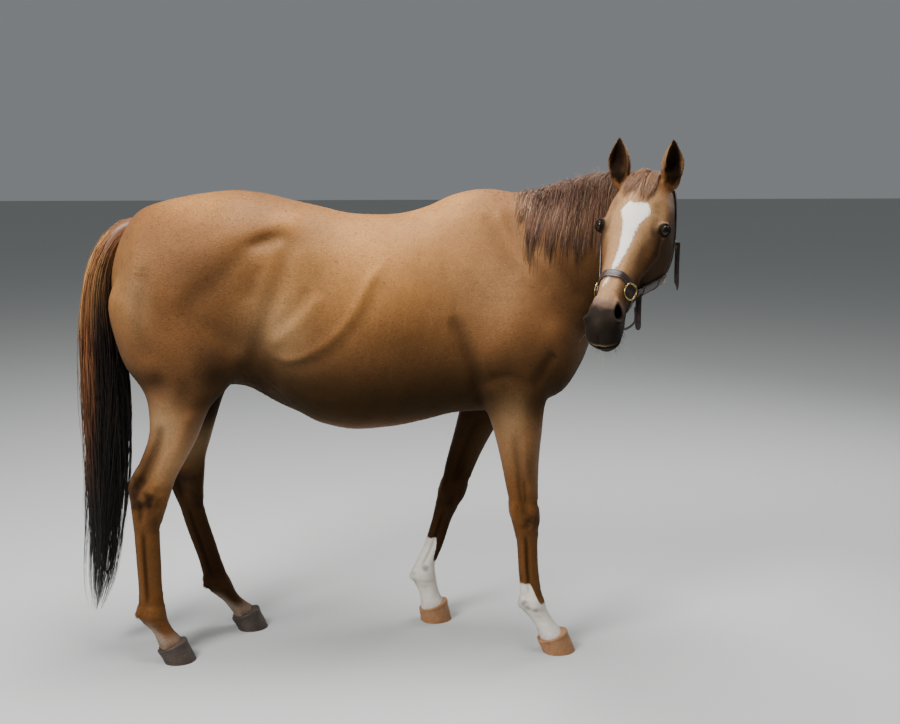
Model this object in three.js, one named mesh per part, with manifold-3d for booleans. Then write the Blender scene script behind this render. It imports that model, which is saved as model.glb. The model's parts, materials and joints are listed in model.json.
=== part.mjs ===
// A standing thoroughbred mare, life size, with her head turned to her right, wearing a leather headcollar.
// Millimetres, +Z up, +X towards her chest, +Y to her left. The floor is z = 0 and the frame's origin lies on it
// under the middle of her bounding box. The body is modelled whole from lofts and parted with thin cuts.
import * as THREE from "three";
import { mergeVertices } from "three/addons/utils/BufferGeometryUtils.js";
import Module from "manifold-3d";

const wasm = await Module();
wasm.setup();

const CUT = 0.5; // width of the cuts that part the body
const CLEAR = 0.5; // air between a strap, hair or eye and the surface that it lies on
const UP = new THREE.Vector3(0, 0, 1);
const rad = THREE.MathUtils.degToRad;

const materials = {
  coat: new THREE.MeshStandardMaterial({ color: 0x8a4f28, roughness: 0.55 }),
  stocking: new THREE.MeshStandardMaterial({ color: 0xd8cdbd, roughness: 0.8 }),
  mane: new THREE.MeshStandardMaterial({ color: 0x6e3f28, roughness: 0.6 }),
  tail: new THREE.MeshStandardMaterial({ color: 0x2a1813, roughness: 0.55 }),
  paleHoof: new THREE.MeshStandardMaterial({ color: 0xa87c52, roughness: 0.6 }),
  darkHoof: new THREE.MeshStandardMaterial({ color: 0x4a3b33, roughness: 0.6 }),
  eye: new THREE.MeshStandardMaterial({ color: 0x120c0a, roughness: 0.08 }),
  leather: new THREE.MeshStandardMaterial({ color: 0x2d221f, roughness: 0.5 }),
  brass: new THREE.MeshStandardMaterial({ color: 0xb08d4a, roughness: 0.3, metalness: 1 }),
};

// ---------------------------------------------------------------- tables and curves

// Turns rows of numbers under named columns into a function that gives every column at a place along the
// first one. Between rows the values run on smooth curves that never overshoot.
function table(columns, rows) {
  const at = rows.map((row) => row[0]);
  const slopes = columns.map((_, c) => {
    const steps = at.slice(1).map((x, i) => (rows[i + 1][c] - rows[i][c]) / (x - at[i]));
    return at.map((_, i) => {
      if (i === 0) return steps[0];
      if (i === at.length - 1) return steps[i - 1];
      const [a, b] = [steps[i - 1], steps[i]];
      return a * b <= 0 ? 0 : (2 * a * b) / (a + b);
    });
  });
  const read = (place) => {
    const x = THREE.MathUtils.clamp(place, at[0], at[at.length - 1]);
    let i = 0;
    while (i < at.length - 2 && x > at[i + 1]) i += 1;
    const h = at[i + 1] - at[i];
    const t = (x - at[i]) / h;
    const value = (c) =>
      rows[i][c] * (1 + 2 * t) * (1 - t) ** 2 +
      rows[i + 1][c] * t * t * (3 - 2 * t) +
      slopes[c][i] * h * t * (1 - t) ** 2 -
      slopes[c][i + 1] * h * t * t * (1 - t);
    return Object.fromEntries(columns.map((name, c) => [name, value(c)]));
  };
  read.from = at[0];
  read.to = at[at.length - 1];
  return read;
}

// Places from one end to the other, closer together near both ends by the share "crowd".
function places(from, to, count, crowd = 0) {
  return Array.from({ length: count + 1 }, (_, i) => {
    const t = i / count;
    const eased = (1 - Math.cos(Math.PI * t)) / 2;
    return from + (to - from) * (t + (eased - t) * crowd);
  });
}

// Share of the full size near a rounded end: 0 at the end, 1 from "radius" inwards.
function rounding(distance, radius) {
  const t = THREE.MathUtils.clamp(1 - distance / radius, 0, 1);
  return Math.sqrt(Math.max(1 - t * t, 0));
}

// ---------------------------------------------------------------- solids

// A closed surface through rings of equally many points, with a fan over each end.
function loft(rings) {
  const count = rings[0].length;
  const middle = (ring) =>
    ring.reduce((sum, p) => sum.add(p), new THREE.Vector3()).divideScalar(count);
  const points = rings.flat().concat([middle(rings[0]), middle(rings[rings.length - 1])]);
  const [first, last] = [points.length - 2, points.length - 1];
  const index = [];
  for (let r = 0; r < rings.length - 1; r += 1) {
    for (let i = 0; i < count; i += 1) {
      const [a, b] = [r * count + i, r * count + ((i + 1) % count)];
      index.push(a, b, b + count, a, b + count, a + count);
    }
  }
  const end = (rings.length - 1) * count;
  for (let i = 0; i < count; i += 1) {
    index.push(first, (i + 1) % count, i);
    index.push(last, end + i, end + ((i + 1) % count));
  }
  const geometry = new THREE.BufferGeometry().setFromPoints(points);
  geometry.setIndex(index);
  return geometry;
}

// The manifold-3d solid of a closed geometry, turned inside out where its faces point inwards.
function solid(geometry) {
  const bare = geometry.index ? geometry.toNonIndexed() : geometry.clone();
  bare.deleteAttribute("normal");
  bare.deleteAttribute("uv");
  const merged = mergeVertices(bare, 1e-3);
  const make = (triVerts) =>
    new wasm.Manifold(
      new wasm.Mesh({
        numProp: 3,
        vertProperties: merged.attributes.position.array,
        triVerts,
      }),
    );
  const faces = new Uint32Array(merged.index.array);
  const made = make(faces);
  return made.volume() > 0 ? made : make(faces.reverse());
}

const union = (parts) => parts.reduce((all, part) => all.add(part));

// A box with one face on a plane, reaching "depth" behind it, as a tool for cutting. The face is "width"
// along "side" and "height" across it.
function slab(point, normal, side, width, height, depth) {
  const n = normal.clone().normalize();
  const u = side.clone().addScaledVector(n, -side.dot(n)).normalize();
  const v = new THREE.Vector3().crossVectors(n, u);
  const geometry = new THREE.BoxGeometry(width, height, depth);
  geometry.applyMatrix4(new THREE.Matrix4().makeBasis(u, v, n));
  const centre = point.clone().addScaledVector(n, -depth / 2);
  geometry.translate(centre.x, centre.y, centre.z);
  return solid(geometry);
}

const horse = new THREE.Group();

// Adds a solid to the model as a named mesh.
function piece(name, made, material) {
  const mesh = made.getMesh();
  const geometry = new THREE.BufferGeometry();
  const position = new Float32Array(mesh.numVert * 3);
  for (let i = 0; i < mesh.numVert; i += 1) {
    const from = i * mesh.numProp;
    position.set(mesh.vertProperties.subarray(from, from + 3), i * 3);
  }
  geometry.setAttribute("position", new THREE.BufferAttribute(position, 3));
  geometry.setIndex(new THREE.BufferAttribute(new Uint32Array(mesh.triVerts), 1));
  geometry.computeVertexNormals();
  const shown = new THREE.Mesh(geometry, material);
  shown.name = name;
  horse.add(shown);
}

// ---------------------------------------------------------------- sections

// Points of a section that is fuller or leaner above and below its widest line. It is as tall as "top" to
// "bottom", widest at height "mid", and the powers "upper" and "lower" are 2 for an ellipse, less where it
// is peaked, and more where it is square. "size" shrinks it towards a rounded end, "grow" widens it all
// round, and place(across, up) puts each point in space.
function section({ top, bottom, half, mid, upper, lower }, count, place, size = 1, grow = 0) {
  const centre = (top + bottom) / 2;
  return Array.from({ length: count }, (_, i) => {
    const angle = (2 * Math.PI * i) / count;
    const [c, s] = [Math.cos(angle), Math.sin(angle)];
    const power = 2 / (s >= 0 ? upper : lower);
    const x = Math.sign(c) * Math.abs(c) ** power;
    const y = Math.sign(s) * Math.abs(s) ** power;
    const reach = s >= 0 ? top - mid : mid - bottom;
    const across = x * (half * size + grow);
    const height = centre + (mid - centre) * size + y * (reach * size + grow);
    return place(across, height);
  });
}

// ---------------------------------------------------------------- trunk

const trunkShape = table(
  ["x", "top", "bottom", "half", "mid", "upper", "lower"],
  [
    [-1168, 1490, 1140, 150, 1300, 2.2, 2.0],
    [-1110, 1545, 1090, 225, 1300, 2.1, 2.0],
    [-1040, 1584, 1055, 262, 1290, 2.0, 2.0],
    [-940, 1612, 1000, 278, 1280, 2.0, 2.0],
    [-830, 1630, 960, 282, 1310, 2.0, 2.1],
    [-740, 1638, 958, 276, 1350, 2.0, 2.1],
    [-650, 1628, 934, 268, 1300, 2.1, 2.2],
    [-550, 1603, 872, 280, 1200, 2.2, 2.2],
    [-450, 1580, 818, 298, 1160, 2.2, 2.2],
    [-330, 1553, 796, 307, 1130, 2.2, 2.2],
    [-210, 1550, 804, 298, 1130, 2.1, 2.2],
    [-90, 1574, 826, 272, 1130, 1.9, 2.2],
    [20, 1620, 850, 250, 1130, 1.65, 2.2],
    [120, 1636, 855, 246, 1130, 1.5, 2.2],
    [220, 1624, 865, 244, 1130, 1.5, 2.2],
    [310, 1540, 885, 232, 1120, 1.7, 2.2],
    [400, 1430, 920, 205, 1110, 2.0, 2.2],
    [492, 1310, 985, 160, 1120, 2.1, 2.2],
  ],
);
const RUMP_ROUND = 130;
const CHEST_ROUND = 120;

function trunkLoft(grow = 0, rings = 20, sides = 20) {
  const { from, to } = trunkShape;
  return solid(
    loft(
      places(from, to, rings, 0.55).map((x) => {
        const size =
          Math.max(rounding(x - from, RUMP_ROUND), 0.05) * Math.max(rounding(to - x, CHEST_ROUND), 0.05);
        const forward = x === from ? -grow : x === to ? grow : 0;
        return section(trunkShape(x), sides, (y, z) => new THREE.Vector3(x + forward, y, z), size, grow);
      }),
    ),
  );
}

// ---------------------------------------------------------------- legs

// A leg is a stack of level sections: "front" and "back" reach from its line, "half" is half its width, and
// "y" is the line's distance from the middle of the body.
const foreShape = table(
  ["z", "front", "back", "half", "y", "square"],
  [
    [62, 56, 46, 50, 158, 2.2],
    [80, 45, 42, 42, 158, 2.1],
    [105, 39, 40, 34, 157, 2.1],
    [140, 42, 44, 34, 156, 2.1],
    [175, 45, 48, 39, 156, 2.2],
    [205, 42, 42, 37, 155, 2.2],
    [240, 38, 40, 31, 155, 2.1],
    [310, 36, 39, 28, 154, 2.1],
    [390, 37, 39, 30, 153, 2.1],
    [450, 45, 46, 39, 152, 2.4],
    [500, 53, 53, 46, 151, 2.6],
    [550, 52, 54, 43, 150, 2.4],
    [615, 57, 62, 44, 150, 2.1],
    [710, 67, 74, 53, 150, 2.1],
    [810, 84, 91, 64, 150, 2.1],
    [880, 100, 106, 74, 148, 2.1],
    [950, 124, 130, 84, 144, 2.1],
    [1040, 158, 170, 90, 138, 2.2],
    [1130, 175, 188, 88, 130, 2.2],
    [1230, 165, 170, 76, 120, 2.2],
    [1320, 120, 130, 50, 112, 2.2],
  ],
);
const hindShape = table(
  ["z", "front", "back", "half", "y", "square"],
  [
    [60, 52, 44, 48, 150, 2.2],
    [80, 46, 40, 43, 150, 2.1],
    [110, 37, 36, 34, 149, 2.1],
    [140, 42, 46, 36, 148, 2.1],
    [172, 48, 52, 41, 147, 2.2],
    [210, 46, 47, 36, 147, 2.1],
    [270, 42, 43, 31, 146, 2.1],
    [360, 44, 45, 31, 146, 2.1],
    [460, 44, 46, 35, 146, 2.1],
    [510, 51, 53, 43, 147, 2.3],
    [560, 60, 64, 50, 148, 2.4],
    [600, 67, 75, 49, 148, 2.3],
    [635, 72, 88, 44, 148, 2.1],
    [675, 76, 80, 45, 149, 2.0],
    [730, 82, 78, 52, 150, 2.0],
    [810, 88, 84, 64, 152, 2.0],
    [905, 104, 106, 80, 154, 2.1],
    [985, 144, 160, 98, 154, 2.1],
    [1060, 195, 200, 116, 154, 2.2],
    [1160, 230, 214, 126, 152, 2.2],
    [1260, 225, 218, 126, 146, 2.2],
    [1350, 185, 190, 110, 136, 2.1],
    [1440, 110, 110, 70, 124, 2.0],
  ],
);

// Where each leg's line runs, as its x at some heights, and how far each foot stands out sideways from
// the shared shape.
const legs = {
  right_fore: {
    shape: foreShape,
    side: -1,
    out: 0,
    line: table(
      ["z", "x"],
      [
        [0, 372],
        [62, 352],
        [100, 330],
        [170, 288],
        [300, 270],
        [400, 264],
        [510, 254],
        [620, 244],
        [800, 230],
        [950, 214],
        [1320, 214],
      ],
    ),
  },
  left_fore: {
    shape: foreShape,
    side: 1,
    out: 8,
    line: table(
      ["z", "x"],
      [
        [0, -50],
        [62, -56],
        [100, -66],
        [190, -88],
        [300, -48],
        [400, -18],
        [500, 18],
        [620, 56],
        [800, 128],
        [950, 190],
        [1320, 214],
      ],
    ),
  },
  right_hind: {
    shape: hindShape,
    side: -1,
    out: 0,
    line: table(
      ["z", "x"],
      [
        [0, -970],
        [60, -992],
        [100, -1014],
        [170, -1052],
        [300, -1056],
        [460, -1058],
        [560, -1046],
        [640, -1030],
        [730, -992],
        [810, -956],
        [905, -930],
        [985, -900],
        [1100, -915],
        [1260, -936],
        [1440, -930],
      ],
    ),
  },
  left_hind: {
    shape: hindShape,
    side: 1,
    out: -16,
    line: table(
      ["z", "x"],
      [
        [0, -742],
        [60, -764],
        [100, -800],
        [160, -848],
        [300, -894],
        [460, -940],
        [560, -958],
        [640, -962],
        [730, -948],
        [810, -930],
        [905, -912],
        [985, -895],
        [1100, -915],
        [1260, -936],
        [1440, -930],
      ],
    ),
  },
};

// How far a leg's foot stands out, which fades away towards the body.
function lateral(leg, z, y) {
  const fade = 1 - THREE.MathUtils.smoothstep(z, 200, 950);
  return leg.side * (y + leg.out * fade);
}

function legLoft(leg, rings = 20, sides = 12) {
  const { from, to } = leg.shape;
  return solid(
    loft(
      places(from - 30, to, rings, -0.15).map((z) => {
        const s = leg.shape(z);
        const x = leg.line(z).x;
        const shape = {
          top: x + s.front,
          bottom: x - s.back,
          mid: x + (s.front - s.back) / 2,
          half: s.half,
          upper: s.square,
          lower: s.square,
        };
        const centre = lateral(leg, z, s.y);
        return section(shape, sides, (across, forward) => new THREE.Vector3(forward, centre + across, z));
      }),
    ),
  );
}

// A hoof: a wall that flares from the sloping hair line down to a flat sole on the floor.
const HOOF = { toe: 76, heel: 42, length: 1.2, width: 1.14, sides: 14 };

// Height of the hair line above the floor at a place x on a leg.
function hairLine(leg, x) {
  const { front, back } = leg.shape(leg.shape.from);
  const heel = leg.line(leg.shape.from).x - back;
  return THREE.MathUtils.mapLinear(x, heel, heel + back + front, HOOF.heel, HOOF.toe);
}

function hoofLoft(leg) {
  const base = leg.shape(leg.shape.from);
  const middle = leg.line(leg.shape.from).x;
  const y = lateral(leg, 0, base.y);
  const corners = places(0, 2 * Math.PI, HOOF.sides).slice(0, -1);
  const crown = corners.map((angle) => {
    const height = hairLine(leg, middle + Math.cos(angle) * base.front);
    const { front, back, half } = leg.shape(height);
    const x = leg.line(height).x + Math.cos(angle) * (Math.cos(angle) > 0 ? front : back);
    return new THREE.Vector3(x, y + Math.sin(angle) * half, hairLine(leg, x));
  });
  const sole = corners.map((angle) => {
    const reach = (Math.cos(angle) > 0 ? base.front : base.back) * HOOF.length;
    const x = leg.line(0).x + Math.cos(angle) * reach;
    return new THREE.Vector3(x, y + Math.sin(angle) * base.half * HOOF.width, 0);
  });
  const between = (share) => sole.map((point, i) => point.clone().lerp(crown[i], share));
  return solid(loft([sole, between(0.5), crown]));
}

// The tool that takes a hoof out of a leg: all that lies under its sloping hair line.
function underHair(leg) {
  const x = leg.line(leg.shape.from).x;
  const reach = 110;
  const slope = hairLine(leg, x + 1) - hairLine(leg, x);
  const normal = new THREE.Vector3(-slope, 0, 1);
  const y = lateral(leg, 0, leg.shape(leg.shape.from).y);
  const point = new THREE.Vector3(x, y, hairLine(leg, x) + CUT);
  return slab(point, normal, new THREE.Vector3(1, 0, 0), 2 * reach, 2 * reach, 140);
}

// ---------------------------------------------------------------- head

// Her head hangs from the poll: "along" runs down the face to the muzzle, "face" stands out from the
// forehead, and "left" points to her left.
const POLL = new THREE.Vector3(581, -468, 1700);
const HEAD_TURN = -119; // heading of the muzzle from +X, seen from above, in degrees
const HEAD_DROP = 46; // how steeply the face slopes down
const HEAD_TILT = -3; // her left side hangs lower

const heading = new THREE.Vector3(Math.cos(rad(HEAD_TURN)), Math.sin(rad(HEAD_TURN)), 0);
const along = heading
  .clone()
  .multiplyScalar(Math.cos(rad(HEAD_DROP)))
  .addScaledVector(UP, -Math.sin(rad(HEAD_DROP)))
  .applyAxisAngle(heading, rad(HEAD_TILT));
const face = heading
  .clone()
  .multiplyScalar(Math.sin(rad(HEAD_DROP)))
  .addScaledVector(UP, Math.cos(rad(HEAD_DROP)))
  .applyAxisAngle(heading, rad(HEAD_TILT));
const left = new THREE.Vector3().crossVectors(face, along);

// A point of the head from its distance down the face, across to her left, and out from the face.
const inHead = (s, across, out) =>
  POLL.clone().addScaledVector(along, s).addScaledVector(left, across).addScaledVector(face, out);

const headShape = table(
  ["s", "top", "bottom", "half", "mid", "upper", "lower"],
  [
    [-45, -45, -150, 50, -95, 2.0, 2.0],
    [-20, -16, -190, 70, -85, 2.0, 2.0],
    [20, 4, -222, 84, -76, 2.1, 2.1],
    [70, 14, -258, 94, -72, 2.2, 2.2],
    [120, 18, -292, 101, -66, 2.2, 2.3],
    [165, 16, -310, 103, -64, 2.2, 2.35],
    [210, 12, -306, 98, -64, 2.1, 2.4],
    [255, 6, -282, 87, -68, 2.0, 2.4],
    [300, 2, -246, 75, -70, 2.0, 2.3],
    [350, 0, -208, 60, -68, 2.0, 2.2],
    [400, 0, -176, 50, -62, 2.1, 2.2],
    [450, -1, -152, 47, -60, 2.2, 2.1],
    [490, -3, -142, 49, -60, 2.2, 2.1],
    [530, -6, -142, 54, -64, 2.2, 2.2],
    [562, -14, -146, 54, -72, 2.2, 2.3],
    [586, -32, -142, 47, -84, 2.2, 2.3],
    [605, -62, -122, 34, -90, 2.0, 2.0],
  ],
);
const MUZZLE_ROUND = 24;

// Swellings on the head: place down, across and out of the face, then radii in the same order. Those off
// the middle come in pairs.
const swellings = {
  orbit: [192, 92, -36, 40, 25, 30],
  cheek: [205, 48, -172, 90, 36, 96],
  nostril: [548, 36, -50, 30, 20, 30],
  chin: [556, 0, -140, 32, 32, 20],
};
const EYE = { s: 196, across: 97, out: -38, radius: 21 };
const LIDS = [20, 14, 12]; // radii of the opening between the lids: down, across and out of the face
const NOSTRIL = [548, 55, -46, 17, 9, 12];

// An ellipsoid on the head: its place, then its radii, grown all round.
function headBall([s, across, out, ...radii], grow = 0, detail = [8, 6]) {
  const geometry = new THREE.SphereGeometry(1, ...detail);
  const [u, v, w] = [along, left, face].map((axis, i) => axis.clone().multiplyScalar(radii[i] + grow));
  geometry.applyMatrix4(new THREE.Matrix4().makeBasis(u, v, w));
  const centre = inHead(s, across, out);
  geometry.translate(centre.x, centre.y, centre.z);
  return solid(geometry);
}

const mirrored = ([s, across, out, ...radii], side) => [s, across * side, out, ...radii];

function headLoft(grow = 0, rings = 17, sides = 16) {
  const { from, to } = headShape;
  const skull = solid(
    loft(
      places(from, to, rings, 0.3).map((s) => {
        const size = Math.max(rounding(to - s, MUZZLE_ROUND), 0.4);
        const further = s === from ? -grow : s === to ? grow : 0;
        const place = (across, out) => inHead(s + further, across, out);
        return section(headShape(s), sides, place, size, grow);
      }),
    ),
  );
  const balls = Object.values(swellings).flatMap((ball) =>
    ball[1] === 0 ? [headBall(ball, grow)] : [-1, 1].map((side) => headBall(mirrored(ball, side), grow)),
  );
  return union([skull, ...balls]);
}

// An ear: a leaf-shaped cup that opens forwards, with a solid foot inside the head.
const EAR = {
  length: 142,
  lean: 0.1, // how far it leans outwards for each unit of height
  wrap: 118, // degrees that its wall reaches round each side from the middle of its back
};
const SIDES = { right: -1, left: 1 };

// Each ear's foot on the head, and the degrees that its opening turns outwards.
const ears = {
  right: { foot: [22, 84, -34], turn: 6 },
  left: { foot: [22, 74, -32], turn: 42 },
};
const earShape = table(
  ["share", "half", "deep", "wall", "hollow"],
  [
    [0, 29, 26, 8, 0],
    [0.2, 32, 28, 8, 0.1],
    [0.38, 37, 30, 6, 0.8],
    [0.55, 36, 27, 5, 1],
    [0.72, 27, 20, 4.5, 1],
    [0.88, 14, 10, 4, 1],
    [1, 3.5, 3, 2, 0.6],
  ],
);

function earLoft(name, rings = 7, steps = 5) {
  const side = SIDES[name];
  const { foot: base, turn } = ears[name];
  const up = UP.clone().addScaledVector(left, side * EAR.lean).normalize();
  const front = heading.clone().applyAxisAngle(UP, side * rad(turn));
  front.addScaledVector(up, -front.dot(up)).normalize();
  const aside = new THREE.Vector3().crossVectors(up, front);
  const foot = inHead(base[0], side * base[1], base[2]);
  const wrap = rad(EAR.wrap);
  return solid(
    loft(
      places(0, 1, rings).map((share) => {
        const { half, deep, wall, hollow } = earShape(share);
        const inner = 1 - wall / half;
        const rim = -Math.cos(wrap) * deep;
        const point = (x, y) =>
          foot.clone().addScaledVector(up, share * EAR.length).addScaledVector(aside, x).addScaledVector(front, y);
        const arc = places(-wrap, wrap, steps);
        const outside = arc.map((a) => point(Math.sin(a) * half, -Math.cos(a) * deep));
        const inside = arc
          .map((a) => {
            const y = THREE.MathUtils.lerp(rim, -Math.cos(a) * deep * inner, hollow);
            return point(Math.sin(a) * half * inner, y);
          })
          .reverse();
        return [...outside, ...inside];
      }),
    ),
  );
}

// ---------------------------------------------------------------- neck

const neckLine = new THREE.CatmullRomCurve3(
  [
    new THREE.Vector3(40, 0, 1290),
    new THREE.Vector3(225, -5, 1340),
    new THREE.Vector3(370, -70, 1435),
    new THREE.Vector3(485, -190, 1530),
    new THREE.Vector3(562, -320, 1592),
    inHead(18, 0, -105),
  ],
  false,
  "centripetal",
);
const neckShape = table(
  ["t", "top", "bottom", "half", "mid", "upper", "lower"],
  [
    [0.0, 310, -330, 180, -100, 1.7, 2.0],
    [0.18, 310, -350, 190, -90, 1.6, 2.0],
    [0.36, 256, -315, 166, -70, 1.6, 2.0],
    [0.55, 196, -248, 126, -40, 1.7, 2.0],
    [0.75, 144, -180, 92, -20, 1.8, 2.0],
    [0.9, 106, -142, 78, 0, 1.9, 2.0],
    [1.0, 78, -120, 66, 0, 2.0, 2.0],
  ],
);

// Directions at a place on the neck: forwards along it, towards the crest, and to her left.
function neckFrame(t) {
  const forward = neckLine.getTangentAt(t);
  const crest = UP.clone().addScaledVector(forward, -UP.dot(forward)).normalize();
  return { at: neckLine.getPointAt(t), forward, crest, left: new THREE.Vector3().crossVectors(crest, forward) };
}

// A point beside the neck, from its place along the neck, across to her left and up towards the crest.
function byNeck(t, across, up) {
  const { at, crest, left: aside } = neckFrame(t);
  return at.clone().addScaledVector(aside, across).addScaledVector(crest, up);
}

function neckLoft(grow = 0, rings = 10, sides = 16) {
  return solid(
    loft(
      places(0, 1, rings).map((t) =>
        section(neckShape(t), sides, (across, up) => byNeck(t, across, up), 1, grow),
      ),
    ),
  );
}

// ---------------------------------------------------------------- tail

const tailLine = new THREE.CatmullRomCurve3(
  [
    new THREE.Vector3(-1050, 0, 1515),
    new THREE.Vector3(-1112, -4, 1500),
    new THREE.Vector3(-1160, -8, 1450),
    new THREE.Vector3(-1194, -12, 1370),
    new THREE.Vector3(-1210, -16, 1240),
    new THREE.Vector3(-1206, -20, 1110),
    new THREE.Vector3(-1200, -22, 960),
    new THREE.Vector3(-1207, -24, 790),
    new THREE.Vector3(-1224, -26, 560),
    new THREE.Vector3(-1238, -28, 380),
    new THREE.Vector3(-1270, -30, 170),
  ],
  false,
  "centripetal",
);
const tailShape = table(
  ["t", "thick", "half"],
  [
    [0, 44, 36],
    [0.06, 48, 40],
    [0.12, 52, 46],
    [0.25, 62, 56],
    [0.38, 80, 66],
    [0.5, 87, 70],
    [0.66, 84, 66],
    [0.8, 68, 54],
    [0.92, 42, 36],
    [1, 6, 6],
  ],
);

function tailLoft(rings = 14, sides = 10) {
  return solid(
    loft(
      places(0, 1, rings, 0.3).map((t) => {
        const { thick, half } = tailShape(t);
        const forward = tailLine.getTangentAt(t);
        const aside = new THREE.Vector3(0, 1, 0).addScaledVector(forward, -forward.y).normalize();
        const back = new THREE.Vector3().crossVectors(forward, aside);
        return Array.from({ length: sides }, (_, i) => {
          const angle = (2 * Math.PI * i) / sides;
          return tailLine
            .getPointAt(t)
            .addScaledVector(aside, Math.cos(angle) * half)
            .addScaledVector(back, Math.sin(angle) * thick);
        });
      }),
    ),
  );
}

// ---------------------------------------------------------------- mane and forelock

// The mane lies over her crest and down the right side of her neck.
const MANE = { from: 0.36, to: 0.92, thick: 13, over: 16, reach: 60, rear: 130, front: 250, wave: 22 };

// The room that the mane fills, as a loft along the neck. The hair is longest near the head, and its lower
// edge waves.
function maneRoom(rings = 9) {
  return solid(
    loft(
      places(MANE.from, MANE.to, rings).map((t) => {
        const { top, half } = neckShape(t);
        const length = THREE.MathUtils.mapLinear(t, MANE.from, MANE.to, MANE.rear, MANE.front);
        const edge = top - length + MANE.wave * Math.sin(t * 23);
        return [
          byNeck(t, MANE.over, top + MANE.reach),
          byNeck(t, -half - MANE.reach, top + MANE.reach),
          byNeck(t, -half - MANE.reach, edge),
          byNeck(t, MANE.over, edge),
        ];
      }),
    ),
  );
}

// The forelock falls from the poll between the ears onto the forehead.
const FORELOCK = { from: 2, to: 122, thick: 10 };

function forelockRoom() {
  const row = ([s, fromRight, toLeft]) => [
    inHead(s, fromRight, -30),
    inHead(s, toLeft, -30),
    inHead(s, toLeft, 60),
    inHead(s, fromRight, 60),
  ];
  return solid(loft([[FORELOCK.from, -40, 42], [70, -46, 38], [FORELOCK.to, -26, 14]].map(row)));
}

// ---------------------------------------------------------------- headcollar

const STRAP = { thick: 4, width: 25, reach: 420 };

// Each belt runs in a plane across the head, between two places given down and out of the face.
const belts = {
  noseband: [[398, 30], [434, -230]],
  crown_strap: [[-62, 17], [236, -285]],
};
const jawBelt = [[390, -112], [226, -236]];

// The box that a belt's strap fills, widened by "grow".
function beltBox([[s0, out0], [s1, out1]], grow = 0) {
  const way = inHead(s1, 0, out1).sub(inHead(s0, 0, out0));
  const normal = new THREE.Vector3().crossVectors(way, left).normalize();
  const middle = inHead((s0 + s1) / 2, 0, (out0 + out1) / 2);
  const point = middle.addScaledVector(normal, STRAP.width / 2 + grow);
  const size = [way.length() + 2 * grow, STRAP.reach, STRAP.width + 2 * grow];
  return slab(point, normal, way, ...size);
}

// How far across the skin of the head lies at a place down and out of the face.
function skinAcross(s, out) {
  const { top, bottom, half, mid, upper, lower } = headShape(s);
  const share = out > mid ? (out - mid) / (top - mid) : (mid - out) / (mid - bottom);
  const power = out > mid ? upper : lower;
  return half * (1 - Math.min(share, 1) ** power) ** (1 / power);
}

// A brass ring on the strap at a side of the head. It is longer along the strap than across, and "facing"
// is how far its front turns down and out of the face for each unit across.
function ring({ at: [s, out], radius, wire, stretch, facing, stand }, side) {
  const geometry = new THREE.TorusGeometry(radius, wire, 4, 12);
  const axis = left.clone().multiplyScalar(side).addScaledVector(along, facing[0]);
  axis.addScaledVector(face, facing[1]).normalize();
  const across = new THREE.Vector3().crossVectors(axis, along).normalize();
  const down = new THREE.Vector3().crossVectors(across, axis);
  geometry.applyMatrix4(new THREE.Matrix4().makeBasis(down.multiplyScalar(stretch), across, axis));
  const centre = inHead(s, side * skinAcross(s, out), out).addScaledVector(axis, STRAP.thick + stand);
  geometry.translate(centre.x, centre.y, centre.z);
  return solid(geometry);
}

const rings = {
  noseband_ring: { at: [420, -48], radius: 19, wire: 2.6, stretch: 1.15, facing: [0.25, 0.6], stand: 9 },
  cheek_ring: { at: [214, -246], radius: 14, wire: 2.4, stretch: 1, facing: [0, -0.3], stand: 6 },
};
const buckle = { at: [132, -186], radius: 13, wire: 1.8, stretch: 1, facing: [0, 0], stand: 6 };

// A strap end that hangs free, straight down from a place on the head, with its flat side to the front.
function hangingEnd([s, across, out], width, length) {
  const shape = new THREE.Shape();
  shape.moveTo(-width / 2, 0);
  shape.lineTo(-width / 2, -length);
  shape.lineTo(0, -length - width / 2);
  shape.lineTo(width / 2, -length);
  shape.lineTo(width / 2, 0);
  shape.closePath();
  const geometry = new THREE.ExtrudeGeometry(shape, { depth: STRAP.thick, bevelEnabled: false });
  const wide = new THREE.Vector3().crossVectors(UP, heading);
  geometry.applyMatrix4(new THREE.Matrix4().makeBasis(wide, UP, heading));
  const top = inHead(s, across, out);
  geometry.translate(top.x, top.y, top.z);
  return solid(geometry);
}

// ---------------------------------------------------------------- the body, parted

// Takes off what lies behind a plane, inside a box of the given size: [what is taken, what is left].
function takeOff(from, point, normal, side, size) {
  const unit = normal.clone().normalize();
  const tool = (offset) => slab(point.clone().addScaledVector(unit, offset), unit, side, ...size);
  return [from.intersect(tool(0)), from.subtract(tool(CUT))];
}

const SIDEWAYS = new THREE.Vector3(0, 1, 0);
const WIDE = [900, 900, 900]; // a box that holds any one part of the body

// What each kind of leg is parted into, from the body down, the height of each cut, and its finishes.
const legKinds = {
  fore: { parts: ["forearm", "cannon", "pastern"], cuts: [820, 440, 205], sock: "stocking", hoof: "paleHoof" },
  hind: { parts: ["gaskin", "cannon", "pastern"], cuts: [900, 460, 205], sock: "coat", hoof: "darkHoof" },
};

// Adds the pieces of a leg below the body, and returns the rest of it, which joins the trunk.
function buildLeg(name, leg) {
  const { parts, cuts, sock, hoof } = legKinds[name.split("_")[1]];
  const across = lateral(leg, 0, leg.shape(0).y);
  const pieces = [];
  let rest = legLoft(leg);
  for (const cut of cuts) {
    const point = new THREE.Vector3(leg.line(cut).x, across, cut);
    const [below, above] = takeOff(rest, point, UP, SIDEWAYS, WIDE);
    pieces.push(above);
    rest = below;
  }
  const [root, ...lower] = [...pieces, rest.subtract(underHair(leg))];
  parts.forEach((part, i) => {
    piece(name + "_" + part, lower[i], part === "pastern" ? materials[sock] : materials.coat);
  });
  piece(name + "_hoof", hoofLoft(leg), materials[hoof]);
  return root;
}

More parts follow.
